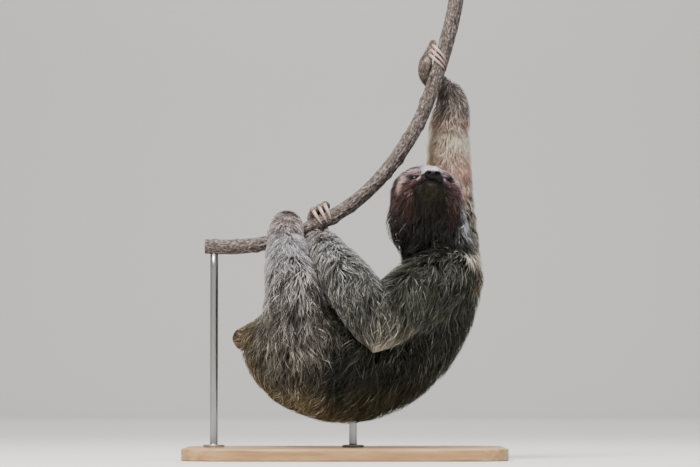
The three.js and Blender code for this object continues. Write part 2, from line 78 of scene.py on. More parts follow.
# The limbs, from shoulder or hip to the palm or sole. joint is the station of the elbow or knee and end
# that of the wrist or ankle. Each foot holds the vine at x, with its toes at the slots along it. Angles
# run round the vine from its upper side towards where the foot faces: 1 is the front, -1 the back. slide
# is how far a claw moves along the vine on the way to its tip. toe gives the toe's radius, the claw's at
# its root and how far the toe stands out from the vine's middle. lie is the way of the hair along the
# upper and the lower part: 1 towards the hand or foot, -1 away from it, 0 neither.
LIMBS = {
    "left_arm": {
        "nodes": ["left_upper_arm", "left_forearm", "left_hand"],
        "line": [
            (154, -42, 274, 48, 15),
            (122, -67, 257, 51, 16),
            (85, -89, 231, 48, 16),
            (52, -104, 203, 41, 14),
            (22, -105, 238, 41, 13),
            (0, -92, 270, 38, 12),
            (-21, -62, 297, 32, 10),
            (-35, -22, 317, 29, 8),
            (-38, 10, 323, 21, 4.5),
            (-40, 27, 347, 15, 2.2),
            (-45, 18, 363, 12.5, 1.8),
        ],
        "joint": 3,
        "end": 7,
        "grip": {
            "x": -40, "slots": (2, 12.5, 21.5),
            "facing": 1, "palm": -75, "knuckle": 6, "tip": 128, "slide": 0,
        },
        "toe": {"radius": 6.6, "claw": 3.5, "reach": 24},
        "lie": (1, -1),
    },
    "right_arm": {
        "nodes": ["right_upper_arm", "right_forearm", "right_hand"],
        "line": [
            (160, 42, 278, 45, 15),
            (168, 50, 335, 35, 12),
            (163, 54, 390, 33.5, 12),
            (158, 53, 442, 34.5, 12),
            (158, 48, 494, 33, 11),
            (162, 44, 528, 28, 9),
            (158, 38, 552, 21, 6),
            (143, 32, 566, 15.5, 3),
            (127, 22, 573, 12.5, 2),
            (121, 10, 584, 11.5, 1.8),
            (121.5, 3, 597, 10, 1.6),
        ],
        "joint": 3,
        "end": 6,
        "grip": {
            "x": 139, "slots": (24, 31.5, 39),
            "facing": 1, "palm": -45, "knuckle": 8, "tip": 142, "slide": -19.5,
        },
        "toe": {"radius": 6, "claw": 3.1, "reach": 23},
        "lie": (0, -1),
    },
    "left_leg": {
        "nodes": ["left_thigh", "left_shin", "left_foot"],
        "line": [
            (-66, -48, 160, 58, 18),
            (-74, -70, 205, 50, 16),
            (-74, -82, 243, 45, 15),
            (-83, -68, 283, 37, 12),
            (-87, -44, 324, 29, 8),
            (-87, -22, 346, 25.5, 5),
            (-85, 3, 351, 19, 3),
            (-81, 16, 348, 13, 2),
        ],
        "joint": 2,
        "end": 4,
        "grip": {
            "x": -80, "slots": (-9, 1, 11),
            "facing": -1, "palm": -20, "knuckle": 38, "tip": 150, "slide": 0,
        },
        "toe": {"radius": 7, "claw": 3.6, "reach": 22},
        "lie": (-1, -1),
    },
    "right_leg": {
        "nodes": ["right_thigh", "right_shin", "right_foot"],
        "line": [
            (-66, 48, 160, 58, 18),
            (-66, 68, 205, 52, 16),
            (-66, 80, 243, 46, 14),
            (-82, 66, 283, 36, 11),
            (-98, 44, 312, 24, 7),
            (-102, 30, 330, 16, 3),
            (-103, 20, 342, 12, 2),
        ],
        "joint": 2,
        "end": 4,
        "grip": {
            "x": -101, "slots": (-7.5, 0, 7.5),
            "facing": 1, "palm": -70, "knuckle": -14, "tip": 112, "slide": -1,
        },
        "toe": {"radius": 5.4, "claw": 3, "reach": 20},
        "lie": (-1, -1),
    },
}
CLAW_NAMES = ("inner", "middle", "outer")
TOE_COAT = 1.4  # the short hair on the toes
# Where a toe bends on its way round the vine, its girth at palm and knuckle as shares of its radius, and
# how much nearer than its reach it lies at the bend and at the knuckle.
TOE = {"bend": 0.45, "palm": 1.15, "knuckle": 0.9, "bend_in": 1, "knuckle_in": 3}

# The head looks towards -Y with its chin raised. Its axes run forward through the nose, up through the
# crown and to the animal's left; their origin is midway between the eyes.
HEAD = {"at": (127.5, -66, 420), "pitch": 27, "roll": -4, "yaw": 5}
EYE = {"radius": 6.6, "forward": -7.5, "up": -3.6, "side": 23.2}
NOSE = {"forward": 23, "up": -13.4, "radii": (8.2, 7.2, 12.4)}

# The head's rounded masses: forward, up, side, radii that way, and the coat's depth.
SKULL = [
    (-42, -6, -4, (43, 42, 52), 9),  # cranium
    (-22, -7, 0, (27, 26, 39), 3),  # face
    (-24, -20, 27, (22, 21, 20), 5),  # cheeks
    (-24, -20, -28, (22, 21, 20), 5),
    (-10, -29, 0, (24, 13, 24), 4),  # lower jaw
    (-7, -16, 0, (26, 12, 24), 2.5),  # upper lips
    (-34, -34, -4, (30, 24, 46), 9),  # throat
]
MUZZLE = [
    (9, -13.5, 0, (21, 11, 15.5), 1.2),  # the nose's bridge
    (1, -27, 0, (19, 8, 17), 1.6),  # chin
]
BROWS = [(-8, 4, 20, (9, 6, 12), 1.4), (-8, 4, -20, (9, 6, 12), 1.4)]
EYE_HOLLOW = {"ahead": 11, "aside": 1, "radii": (8, 5, 9)}  # a hollow in front of each eye
LID = 1.2  # the lids' thickness over the eye

# How wide the fillets are between the parts that join.
FILLETS = {
    "skull": 14, "muzzle": 8, "brows": 6, "face": 9, "eye_hollow": 5, "lids": 4,
    "ruff": 16, "neck": 22, "tail": 10, "head": 16, "toe": 2.5,
}
# A limb's fillet to the trunk narrows from most to least. The share of that range which is left is
# from - fall * the limb's share, counted as 1 at the elbow or knee, and it is held between 0 and 1.
LIMB_FILLET = {"least": 5, "most": 32, "from": 1.6, "fall": 1.3}

# The vine's centre line from its lower cut end: x, y, z and radius.
VINE = [
    (-210, 0, 319, 10.6),
    (-150, 0, 318.5, 10.6),
    (-90, 0, 330.5, 11),
    (-40, 0, 352.5, 11),
    (5, 0, 379, 10.6),
    (48, 0, 416, 10.2),
    (85, 0, 462, 10.4),
    (117, 0, 519, 10.4),
    (139, 0, 580, 10.8),
    (155, 0, 634, 11),
    (164, 0, 672, 11.2),
    (169, 0, 703, 11),
]

# ---------------------------------------------------------------------------------------------------
# Lines and forms: distances to the tips of the coat and to the skin, negative inside
# ---------------------------------------------------------------------------------------------------


def rounded(rows, per_span):
    """The stations with more put between them, evenly in each span (a Catmull-Rom spline)."""
    rows = np.array(rows, np.float32)
    last = len(rows) - 1
    t = np.arange(per_span, dtype=np.float32)[:, None] / per_span
    found = []
    for i in range(last):
        a, b, c, d = (rows[min(max(n, 0), last)] for n in (i - 1, i, i + 1, i + 2))
        found.append(b + 0.5 * t * (c - a + t * (2 * a - 5 * b + 4 * c - d + t * (3 * (b - c) + d - a))))
    return np.vstack([*found, rows[-1:]])


def unit(vectors):
    return vectors / np.maximum(np.linalg.norm(vectors, axis=-1, keepdims=True), 1e-9)


class Tube:
    """A round tube through stations with a radius and a coat depth."""

    def __init__(self, rows, deep=1.0, per_span=4):
        self.line = rounded(rows, per_span)
        self.stations = len(rows) - 1
        self.deep = deep
        self.spans = len(self.line) - 1
        reach = self.line[:, 3:4] * deep + MEASURED
        self.low = (self.line[:, :3] - reach).min(0)
        self.high = (self.line[:, :3] + reach).max(0)

    def measure(self, points):
        """Each point's distances to coat and skin, and how far along the tube it lies.

        That share runs from 0 to 1 and counts spans, not length: long and short spans take up as much.
        """
        coat = np.full(len(points), FAR, np.float32)
        skin = coat.copy()
        along = np.zeros(len(points), np.float32)
        near = np.flatnonzero(((points > self.low) & (points < self.high)).all(1))
        if not len(near):
            return coat, skin, along
        close = points[near]
        best_coat = coat[near]
        best_skin = skin[near]
        best_along = along[near]
        for i in range(self.spans):
            a, b = self.line[i], self.line[i + 1]
            way = b[:3] - a[:3]
            off = close - a[:3]
            off[:, 1] /= self.deep
            t = np.clip(off @ way / (way @ way), 0, 1)
            off -= t[:, None] * way
            away = np.sqrt(np.einsum("ij,ij->i", off, off)) - a[3] - t * (b[3] - a[3])
            inner = away + a[4] + t * (b[4] - a[4])
            best_coat = np.minimum(best_coat, away)
            closer = inner < best_skin
            best_skin = np.where(closer, inner, best_skin)
            best_along = np.where(closer, (i + t) / self.spans, best_along)
        coat[near], skin[near], along[near] = best_coat, best_skin, best_along
        return coat, skin, along

    def at(self, along):
        """The line's place and way, at shares as measure gives them."""
        spot = np.clip(along, 0, 1) * self.spans
        i = np.minimum(spot.astype(int), self.spans - 1)
        t = (spot - i)[:, None]
        a, b = self.line[i, :3], self.line[i + 1, :3]
        return a + t * (b - a), unit(b - a)


def blend(d, e, k):
    """Two distances joined with a fillet about as wide as k."""
    h = np.maximum(k - np.abs(d - e), 0) / k
    return np.minimum(d, e) - h * h * k / 4


def egg(u, v, w, ru, rv, rw):
    """The distance to an egg with these radii, from places on its own axes."""
    near = np.sqrt((u / ru) ** 2 + (v / rv) ** 2 + (w / rw) ** 2)
    slope = np.sqrt((u / ru**2) ** 2 + (v / rv**2) ** 2 + (w / rw**2) ** 2)
    return near * (near - 1) / np.maximum(slope, 1e-6)


def turned(axis, degrees):
    """A turn round X (0), Y (1) or Z (2), as a matrix."""
    c, s = math.cos(math.radians(degrees)), math.sin(math.radians(degrees))
    after, last = (axis + 1) % 3, (axis + 2) % 3
    turn = np.eye(3)
    turn[after, after] = turn[last, last] = c
    turn[after, last], turn[last, after] = -s, s
    return turn


HEAD_TURN = turned(2, HEAD["yaw"]) @ turned(0, -HEAD["pitch"]) @ turned(1, -HEAD["roll"])


def on_head(points):
    """Forward, up and side of the head's origin, for points of the world."""
    own = (points - np.array(HEAD["at"], np.float32)) @ HEAD_TURN.astype(np.float32)
    return -own[:, 1], own[:, 2], own[:, 0]


def from_head(forward, up, side):
    """The place in the world of a point on the head's axes."""
    return np.array(HEAD["at"]) + HEAD_TURN @ np.array([side, -forward, up])


def eye_at(sign):
    """The middle of the left (1) or the right (-1) eye."""
    return from_head(EYE["forward"], EYE["up"], sign * EYE["side"])


def masses(own, rows, k, inner):
    """Eggs on the head's axes joined together, out to the coat, or the skin where inner is 1."""
    total = np.float32(FAR)
    for forward, up, side, radii, coat in rows:
        ru, rv, rw = (r - coat * inner for r in radii)
        total = blend(total, egg(own[0] - forward, own[1] - up, own[2] - side, ru, rv, rw), k)
    return total


def head_distance(own, inner, lids=False):
    """The distance to the head's coat, or to its skin where inner is 1, with the face's details on it."""
    skull, muzzle, brows = (
        masses(own, rows, FILLETS[name], inner)
        for name, rows in (("skull", SKULL), ("muzzle", MUZZLE), ("brows", BROWS))
    )
    total = blend(blend(skull, muzzle, FILLETS["face"]), brows, FILLETS["face"])
    for sign in (1, -1):
        f, u, side = own[0] - EYE["forward"], own[1] - EYE["up"], own[2] - sign * EYE["side"]
        hollow = egg(f - EYE_HOLLOW["ahead"], u, side - sign * EYE_HOLLOW["aside"], *EYE_HOLLOW["radii"])
        total = -blend(-total, hollow, FILLETS["eye_hollow"])
        if inner:
            lidded = [EYE["radius"] + LID] * 3
            total = blend(total, egg(f, u, side, *lidded), FILLETS["lids"])
    return face_details(own, total) if lids else total


# The body's lines and the vine's.
trunk = Tube(TRUNK, TRUNK_DEEP)
tail = Tube(TAIL)
neck = Tube(NECK)
limbs = {name: Tube(limb["line"]) for name, limb in LIMBS.items()}
vine_line = rounded(VINE, per_span=6)
vine_tube = Tube([(*row, 0) for row in VINE], per_span=6)


def vine_at(x):
    """The vine's centre, way and radius at x."""
    i = max(int(np.argmax(vine_line[:, 0] > x)), 1)
    a, b = vine_line[i - 1], vine_line[i]
    t = (x - a[0]) / (b[0] - a[0])
    return a[:3] + t * (b[:3] - a[:3]), unit(b[:3] - a[:3]), a[3] + t * (b[3] - a[3])


def beside_vine(grip, slot, angle, distance):
    """A place beside the vine: its slot along it, its angle round it and its distance from the centre."""
    centre, along, _ = vine_at(grip["x"])
    up = np.array([-along[2], 0, along[0]])
    turn = math.radians(angle)
    place = centre + along * slot + up * distance * math.cos(turn)
    place[1] -= grip["facing"] * distance * math.sin(turn)
    return place


def toe_rows(limb, slot):
    """The stations of a toe, from the palm over the vine to its claw."""
    grip, toe = limb["grip"], limb["toe"]
    turn = grip["palm"] + TOE["bend"] * (grip["knuckle"] - grip["palm"])
    root, palm = limb["line"][-2], limb["line"][-1]
    bend = beside_vine(grip, slot, turn, toe["reach"] - TOE["bend_in"])
    knuckle = beside_vine(grip, slot, grip["knuckle"], toe["reach"] - TOE["knuckle_in"])
    r = toe["radius"]
    return [
        (*root[:3], r, TOE_COAT),
        (*palm[:3], TOE["palm"] * r, TOE_COAT),
        (*bend, r, TOE_COAT),
        (*knuckle, TOE["knuckle"] * r, TOE_COAT),
    ]


toes = {name: [Tube(toe_rows(limb, slot)) for slot in limb["grip"]["slots"]] for name, limb in LIMBS.items()}


def body(points, lids=False):
    """Each point's distances to the tips of the coat and to the skin."""
    points = np.asarray(points, np.float32)
    own = on_head(points)
    ruff = points - np.array(RUFF["at"], np.float32)
    parts = {tube: tube.measure(points) for tube in (trunk, tail, neck, *limbs.values())}
    found = []
    for inner in (0, 1):
        rx, ry, rz = (r - RUFF["coat"] * inner for r in RUFF["radii"])
        mane = egg(ruff[:, 0], ruff[:, 1], ruff[:, 2], rx, ry, rz)
        mane = blend(parts[neck][inner], mane, FILLETS["ruff"])
        total = blend(parts[trunk][inner], mane, FILLETS["neck"])
        total = blend(total, parts[tail][inner], FILLETS["tail"])
        total = blend(total, head_distance(own, inner, lids and inner), FILLETS["head"])
        torso = total
        for name, tube in limbs.items():
            distance, along = parts[tube][inner], parts[tube][2]
            elbow = LIMBS[name]["joint"] / tube.stations
            wide = np.clip(LIMB_FILLET["from"] - LIMB_FILLET["fall"] * along / elbow, 0, 1)
            fillet = LIMB_FILLET["least"] + (LIMB_FILLET["most"] - LIMB_FILLET["least"]) * wide
            total = np.minimum(total, blend(torso, distance, fillet))
        for name, digits in toes.items():
            hand = parts[limbs[name]][inner]
            for digit in digits:
                hand = blend(hand, digit.measure(points)[inner], FILLETS["toe"])
            total = np.minimum(total, hand)
        found.append(total)
    return found


def in_pieces(measure, points):
    """The measure of many points, a piece at a time."""
    parts = [measure(points[i : i + AT_A_TIME]) for i in range(0, len(points), AT_A_TIME)]
    return [np.concatenate(column) for column in zip(*parts)]


SLOPE_STEP = 0.7  # of a cell, for reading the grid's slope


class Grid:
    """The body's distances sampled on a grid, for walking hairs through it."""

    def __init__(self, low, high, cell):
        self.low = np.array(low, np.float32)
        self.cell = cell
        self.count = np.ceil((np.array(high) - low) / cell).astype(int) + 1
        axes = [low[i] + cell * np.arange(self.count[i], dtype=np.float32) for i in range(3)]
        points = np.stack(np.meshgrid(*axes, indexing="ij"), -1).reshape(-1, 3)
        coat, skin = in_pieces(body, points)
        self.coat, self.skin = coat.reshape(self.count), skin.reshape(self.count)

    def read(self, values, points):
        """Values at points between the grid's own."""
        spot = np.clip((points - self.low) / self.cell, 0, self.count - 1.001)
        i = spot.astype(int)
        t = (spot - i).astype(np.float32)
        total = 0
        for corner in np.ndindex(2, 2, 2):
            share = np.prod(np.where(corner, t, 1 - t), axis=1)
            total = total + share * values[tuple((i + corner).T)]
        return total

    def slope(self, values, points):
        """The unit way in which values grow fastest."""
        steps = np.eye(3, dtype=np.float32) * self.cell * SLOPE_STEP
        rises = [self.read(values, points + step) - self.read(values, points - step) for step in steps]
        return unit(np.stack(rises, 1))


LEAST_STEEP = 0.2  # keeps a step short where the distance is nearly flat


def settle(points, distance, passes=3, step=0.4, most=None):
    """The points moved along the distance's slope to where it is nought, by no more than most."""
    start = points
    for _ in range(passes):
        off = distance(points)
        slope = np.stack([distance(points + s) - off for s in np.eye(3, dtype=np.float32) * step], 1) / step
        steep = np.maximum(np.einsum("ij,ij->i", slope, slope), LEAST_STEEP)
        points = points - (off / steep)[:, None] * slope
        if most:
            points = start + np.clip(points - start, -most, most)
    return points


def net(values, low, cell):
    """The surface where the values are nought, with one vertex in each cell that it crosses."""
    inside = values < 0
    corners = list(np.ndindex(2, 2, 2))
    shifts = [tuple(slice(c, n - 1 + c) for c, n in zip(corner, values.shape)) for corner in corners]
    count = sum(inside[shift].astype(np.int8) for shift in shifts)
    cells = np.argwhere((count > 0) & (count < len(corners)))
    total = np.zeros((len(cells), 3))
    crossed = np.zeros((len(cells), 1))
    for a in corners:
        for axis in range(3):
            if a[axis]:
                continue
            b = tuple(c + (i == axis) for i, c in enumerate(a))
            va, vb = values[tuple((cells + a).T)], values[tuple((cells + b).T)]
            cuts = (va < 0) != (vb < 0)
            t = np.where(cuts, va / np.where(cuts, va - vb, 1), 0)
            place = np.array(a) + t[:, None] * (np.array(b) - a)
            total += place * cuts[:, None]
            crossed += cuts[:, None]
    vertices = np.array(low) + cell * (cells + total / crossed)

    index = np.full(values.shape, -1)
    index[tuple(cells.T)] = np.arange(len(cells))
    faces = []
    for axis in range(3):
        ahead = np.zeros(3, int)
        ahead[axis] = 1
        left, up = np.roll(ahead, 1), np.roll(ahead, 2)
        here = inside[tuple(slice(1, n - 1) for n in values.shape)]
        there = inside[tuple(slice(1 + s, n - 1 + s) for s, n in zip(ahead, values.shape))]
        for leaving in (True, False):
            spots = np.argwhere((here != there) & (here == leaving)) + 1
            ring = [spots, spots - left, spots - left - up, spots - up]
            ring = ring if leaving else ring[::-1]
            faces.append(np.stack([index[tuple(c.T)] for c in ring], 1))
    return vertices.astype(np.float32), np.vstack(faces)


def crease(total, depth, off, wide, where):
    """The surface pressed in by depth along a line: off is the distance from it, where its strength."""
    return total + depth * np.exp(-((off / wide) ** 2)) * where


def step_between(value, low, high):
    """0 below low and 1 above high, with a smooth rise between."""
    t = np.clip((value - low) / (high - low), 0, 1)
    return t * t * (3 - 2 * t)


MOUTH_UP = -20.6  # where the lips meet at the chin's middle
MOUTH_REACH = 24  # half the mouth's width
MOUTH_BEND = 0.002  # how the lips' line drops towards its ends
SLIT = (2.1, 6.3)  # the half-shut eye: half its height and width
SLIT_TILT = 0.34  # the outer corner hangs a little
# The lids' outer edge: half its height and width, and how far back on the head's axes it is drawn.
LID_EDGE = {"height": 5.2, "width": 8.6, "front": -12}


def lip_line(up, side):
    """The distance above the line where the lips meet."""
    return up - MOUTH_UP + MOUTH_BEND * side**2


def face_details(own, total):
    """Lids, lips, the edge of the nose and the folds, on the bare skin of the face."""
    forward, up, side = own
    aside = np.abs(side)
    above = up - EYE["up"]
    in_front = forward > LID_EDGE["front"]
    for sign in (1, -1):
        s = sign * side - EYE["side"]
        lid_line = (np.hypot((above + SLIT_TILT * s) / LID_EDGE["height"], s / LID_EDGE["width"]) - 1) * 6
        total = crease(total, 0.7, lid_line, wide=0.9, where=in_front * step_between(above, -3, 3))
        total = crease(total, 0.5, lid_line, wide=0.8, where=in_front * step_between(EYE["up"] - up, 1, 5))
    ahead = step_between(forward, -9, -1)
    lips = lip_line(up, side)
    gap, upper, lower = (
        1 - step_between(aside, *ends) for ends in ((MOUTH_REACH - 6, MOUTH_REACH), (12, 19), (12, 18))
    )
    total = crease(total, 1.3, lips, wide=1.1, where=ahead * gap)
    total = crease(total, -0.4, lips - 2.6, wide=1.5, where=ahead * upper)
    total = crease(total, -0.45, lips + 2.8, wide=1.6, where=ahead * lower)
    beside_nose = np.hypot(up - NOSE["up"], (aside - 2) * 0.8) - 11.5
    total = crease(total, 0.7, beside_nose, wide=1.3, where=step_between(forward, 6, 12))
    cheek_fold = np.hypot(forward + 12, up + 16) - 16
    on_cheek = step_between(aside, 12, 17) * (1 - step_between(aside, 27, 32))
    total = crease(total, 0.8, cheek_fold, wide=1.6, where=on_cheek)
    under_eye = np.hypot(above - 1, (aside - EYE["side"]) * 0.75) - 9.2
    below = step_between(-up, 2, 6) * step_between(forward, -14, -8)
    return crease(total, 0.5, under_eye, wide=0.9, where=below)


# ---------------------------------------------------------------------------------------------------
# Colours and materials
# ---------------------------------------------------------------------------------------------------


def linear(code):
    """An sRGB hex colour as linear red, green and blue."""
    parts = np.array([int(code[i : i + 2], 16) for i in (1, 3, 5)]) / 255
    return np.where(parts <= 0.04045, parts / 12.92, ((parts + 0.055) / 1.055) ** 2.4)


def rgba(code):
    return (*linear(code), 1.0)


def colours_at(values, stops):
    """Linear colours at values, between stops of (value, hex colour)."""
    places = [place for place, _ in stops]
    colours = np.array([linear(code) for _, code in stops])
    return np.stack([np.interp(values, places, colours[:, i]) for i in range(3)], 1)


def add(tree, kind, inputs=(), **settings):
    """A node with its settings. inputs gives sockets by name or number: an output to link, or a value."""
    made = tree.nodes.new(kind)
    for key, value in settings.items():
        setattr(made, key, value)
    for key, value in dict(inputs).items():
        if isinstance(value, bpy.types.NodeSocket):
            tree.links.new(value, made.inputs[key])
        else:
            made.inputs[key].default_value = value
    return made


def material(name, base, bump=None, **values):
    """A material whose colour and bump are made by functions of its node tree, and the rest set by value."""
    made = bpy.data.materials.new(name)
    made.use_nodes = True
    tree = made.node_tree
    shader = tree.nodes["Principled BSDF"]
    for key, value in values.items():
        shader.inputs[key.replace("_", " ")].default_value = value
    colour = base(tree)
    if isinstance(colour, bpy.types.NodeSocket):
        tree.links.new(colour, shader.inputs["Base Color"])
    else:
        shader.inputs["Base Color"].default_value = colour
    if bump:
        tree.links.new(bump(tree), shader.inputs["Normal"])
    return made


def own_place(tree, stretch=(1, 1, 1)):
    """The piece's own coordinates in millimetres, stretched along each axis."""
    coordinates = add(tree, "ShaderNodeTexCoord").outputs["Object"]
    scale = tuple(1 / MM / s for s in stretch)
    return add(tree, "ShaderNodeMapping", {"Vector": coordinates, "Scale": scale}).outputs["Vector"]


def noise(tree, size, place, detail):
    """Noise with lumps of this size in millimetres."""
    inputs = {"Vector": place, "Scale": 1 / size, "Detail": detail}
    return add(tree, "ShaderNodeTexNoise", inputs).outputs["Fac"]


def ramp(tree, value, *stops):
    """Colours along a value, as (place, hex colour)."""
    made = add(tree, "ShaderNodeValToRGB", {"Fac": value})
    elements = made.color_ramp.elements
    while len(elements) < len(stops):
        elements.new(0.5)
    for element, (place, code) in zip(elements, stops):
        element.position = place
        element.color = rgba(code)
    return made.outputs["Color"]


def painted(tree):
    """The colours that paint gives the vertices."""
    return add(tree, "ShaderNodeVertexColor", layer_name="tone").outputs["Color"]


def shaded(tree, colour, value, low, high):
    """A colour made darker or lighter by a value between 0 and 1."""
    ends = {"Value": value, "To Min": low, "To Max": high}
    level = add(tree, "ShaderNodeMapRange", ends).outputs["Result"]
    made = add(tree, "ShaderNodeVectorMath", {0: colour}, operation="SCALE")
    tree.links.new(level, made.inputs["Scale"])
    return made.outputs["Vector"]


def bumped(tree, height, distance):
    """Relief of this many millimetres."""
    inputs = {"Height": height, "Distance": distance * MM, "Strength": 1.0}
    return add(tree, "ShaderNodeBump", inputs).outputs["Normal"]


def strands(tree, count):
    """Noise in stripes along each tuft, about this many across it, that run together at its tip."""
    across = add(tree, "ShaderNodeAttribute", attribute_name="strand").outputs["Fac"]
    inputs = {"W": across, "Scale": count / 2, "Detail": 1.0}
    return add(tree, "ShaderNodeTexNoise", inputs, noise_dimensions="1D").outputs["Fac"]


STRANDS = 5  # drawn across each tuft


def guard_hair_colour(tree):
    return shaded(tree, painted(tree), strands(tree, STRANDS), low=0.45, high=1.55)


def guard_hair_bump(tree):
    return bumped(tree, strands(tree, STRANDS), distance=0.3)


def hide_colour(tree):
    mottled = noise(tree, 2.2, own_place(tree), detail=4.0)
    return shaded(tree, painted(tree), mottled, low=0.8, high=1.2)


def hide_bump(tree):
    hairs = noise(tree, 0.7, own_place(tree, (1, 1.6, 3.5)), detail=3.0)
    return bumped(tree, hairs, distance=0.35)


def nose_bump(tree):
    inputs = {"Vector": own_place(tree), "Scale": 1 / 0.9}
    pores = add(tree, "ShaderNodeTexVoronoi", inputs, feature="SMOOTH_F1").outputs["Distance"]
    return bumped(tree, pores, distance=0.12)


def claw_colour(tree):
    fibres = noise(tree, 0.8, own_place(tree, (1, 1, 5)), detail=3.0)
    return shaded(tree, painted(tree), fibres, low=0.82, high=1.15)


def claw_bump(tree):
    return bumped(tree, noise(tree, 0.6, own_place(tree, (1, 2, 6)), detail=2.0), distance=0.06)


def on_bark(tree):
    """Along the vine and round it, in millimetres, drawn out along it by BARK_DRAWN."""
    return add(tree, "ShaderNodeAttribute", attribute_name="on_bark").outputs["Vector"]


def bark_colour(tree):
    lichen = noise(tree, 2.6, on_bark(tree), detail=8.0)
    fine = noise(tree, 0.7, on_bark(tree), detail=4.0)
    bark = ramp(tree, lichen, (0.34, "#3a322f"), (0.46, "#564d49"), (0.57, "#746b69"), (0.72, "#a79fa4"))
    return shaded(tree, bark, fine, low=0.33, high=1.42)


def bark_bump(tree):
    return bumped(tree, noise(tree, 1.3, on_bark(tree), detail=6.0), distance=1.3)


def end_grain_colour(tree):
    ring = add(tree, "ShaderNodeAttribute", attribute_name="from_heart").outputs["Fac"]
    pores = noise(tree, 0.5, own_place(tree), detail=2.0)
    woods = (0.0, "#8a6a48"), (0.12, "#cdb189"), (0.5, "#c2a379"), (0.84, "#b59467"), (0.9, "#5a4636")
    rings = ramp(tree, ring, *woods)
    return shaded(tree, rings, pores, low=0.75, high=1.15)


def beech_pores(tree):
    return noise(tree, 0.9, own_place(tree, (22, 1, 1)), detail=2.0)


def beech_colour(tree):
    figure = noise(tree, 9, own_place(tree, (9, 1, 1)), detail=3.0)
    pores = beech_pores(tree)
    wood = ramp(tree, figure, (0.3, "#9a7650"), (0.5, "#b28d64"), (0.7, "#c4a277"))
    return shaded(tree, wood, pores, low=0.78, high=1.16)


def beech_bump(tree):
    return bumped(tree, beech_pores(tree), distance=0.08)


def steel_bump(tree):
    return bumped(tree, noise(tree, 0.35, own_place(tree, (1, 1, 60)), detail=1.0), distance=0.02)


# Long, coarse, dry outer hair: dull, with a faint edge sheen from its grooved shafts.
GUARD_HAIR = material(
    "Sloth_guard_hair", guard_hair_colour, guard_hair_bump, Roughness=0.6, IOR=1.45, Specular_IOR_Level=0.3,
    Sheen_Weight=0.05, Sheen_Roughness=0.5,
)
# Hide under the coat and on the face: matt, with the lie of very short hair as its relief.
HIDE = material(
    "Short_haired_hide", hide_colour, hide_bump,
    Roughness=0.72, IOR=1.42, Specular_IOR_Level=0.35,
)
# Bare black rhinarium, moist: a soft shine broken by fine pores.
NOSE_LEATHER = material(
    "Moist_nose_leather", lambda tree: rgba("#0c0a0d"), nose_bump,
    Roughness=0.42, IOR=1.26,
)
# A wet eye: nearly black iris under a clear, softly shining cornea.
EYE_WET = material(
    "Wet_dark_eye", painted, None,
    Roughness=0.24, IOR=1.28, Coat_Weight=0.02, Coat_Roughness=0.1,
)
# Worn keratin: pale pinkish horn, satin, with long fibres.
KERATIN = material("Worn_claw_keratin", claw_colour, claw_bump, Roughness=0.42, IOR=1.54)
# Dry liana bark: grey, dusty and rough, with pale lichen bloom.
BARK = material("Dry_liana_bark", bark_colour, bark_bump, Roughness=0.88, IOR=1.45)
# Sawn vine, sanded across the grain: open pores and faint rings.
END_GRAIN = material("Sanded_end_grain", end_grain_colour, None, Roughness=0.7, IOR=1.5)
# Lacquered beech board: warm, satin, with fine flecks along its length.
BEECH = material("Lacquered_beech", beech_colour, beech_bump, Roughness=0.42, IOR=1.5)
# Brushed stainless rod: soft streaks of light along its length.
STEEL = material(
    "Brushed_stainless_steel", lambda tree: rgba("#b4b6b8"), steel_bump,
    Roughness=0.32, Metallic=1.0,
)
# Matt backdrop paper: even and pale, without shine.
PAPER = material("Matt_backdrop_paper", lambda tree: rgba("#dcdad5"), None, Roughness=0.95, IOR=1.3)


# ---------------------------------------------------------------------------------------------------
# Meshes
# ---------------------------------------------------------------------------------------------------


def make_object(name, vertices, faces, *materials, slots=None, smooth=True):
    """An object from vertices in millimetres and faces, arrays each of one count of corners."""
    mesh = bpy.data.meshes.new(name)
    corners = np.concatenate([f.reshape(-1) for f in faces]).astype(np.int32)
    sizes = np.concatenate([np.full(len(f), f.shape[1]) for f in faces])
    mesh.vertices.add(len(vertices))
    mesh.vertices.foreach_set("co", (np.asarray(vertices) * MM).astype(np.float32).reshape(-1))
    mesh.loops.add(len(corners))
    mesh.loops.foreach_set("vertex_index", corners)
    mesh.polygons.add(len(sizes))
    mesh.polygons.foreach_set("loop_start", (np.cumsum(sizes) - sizes).astype(np.int32))
    for used in materials:
        mesh.materials.append(used)
    if slots is not None:
        mesh.polygons.foreach_set("material_index", slots.astype(np.int32))
    mesh.update(calc_edges=True)
    if not smooth:
        mesh.shade_flat()
    made = bpy.data.objects.new(name, mesh)
    bpy.context.scene.collection.objects.link(made)
    return made


def paint(thing, colours):
    """Linear colours for the object's vertices."""
    values = np.ones((len(colours), 4), np.float32)
    values[:, :3] = colours
    layer = thing.data.color_attributes.new("tone", "FLOAT_COLOR", "POINT")
    layer.data.foreach_set("color", values.reshape(-1))


def set_values(thing, values, name):
    """A number for each of the object's vertices."""
    thing.data.attributes.new(name, "FLOAT", "POINT").data.foreach_set("value", values.astype(np.float32))


def add_piece(thing, slot, *nodes):
    """The piece rides on the one body and stands for these CAD nodes, which it hides. The slot is not used.
    """
    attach(thing, "root")
    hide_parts(*nodes)


def box_of(node):
    """The low and high corners of a CAD node, in millimetres."""
    return (np.array(corner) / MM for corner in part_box(node))


def run_along(line):
    """How far along a line each of its points lies, in millimetres."""
    return np.concatenate([[0], np.cumsum(np.linalg.norm(np.diff(line, axis=0), axis=1))])


def angles_round(sides):
    return 2 * np.pi * np.arange(sides) / sides


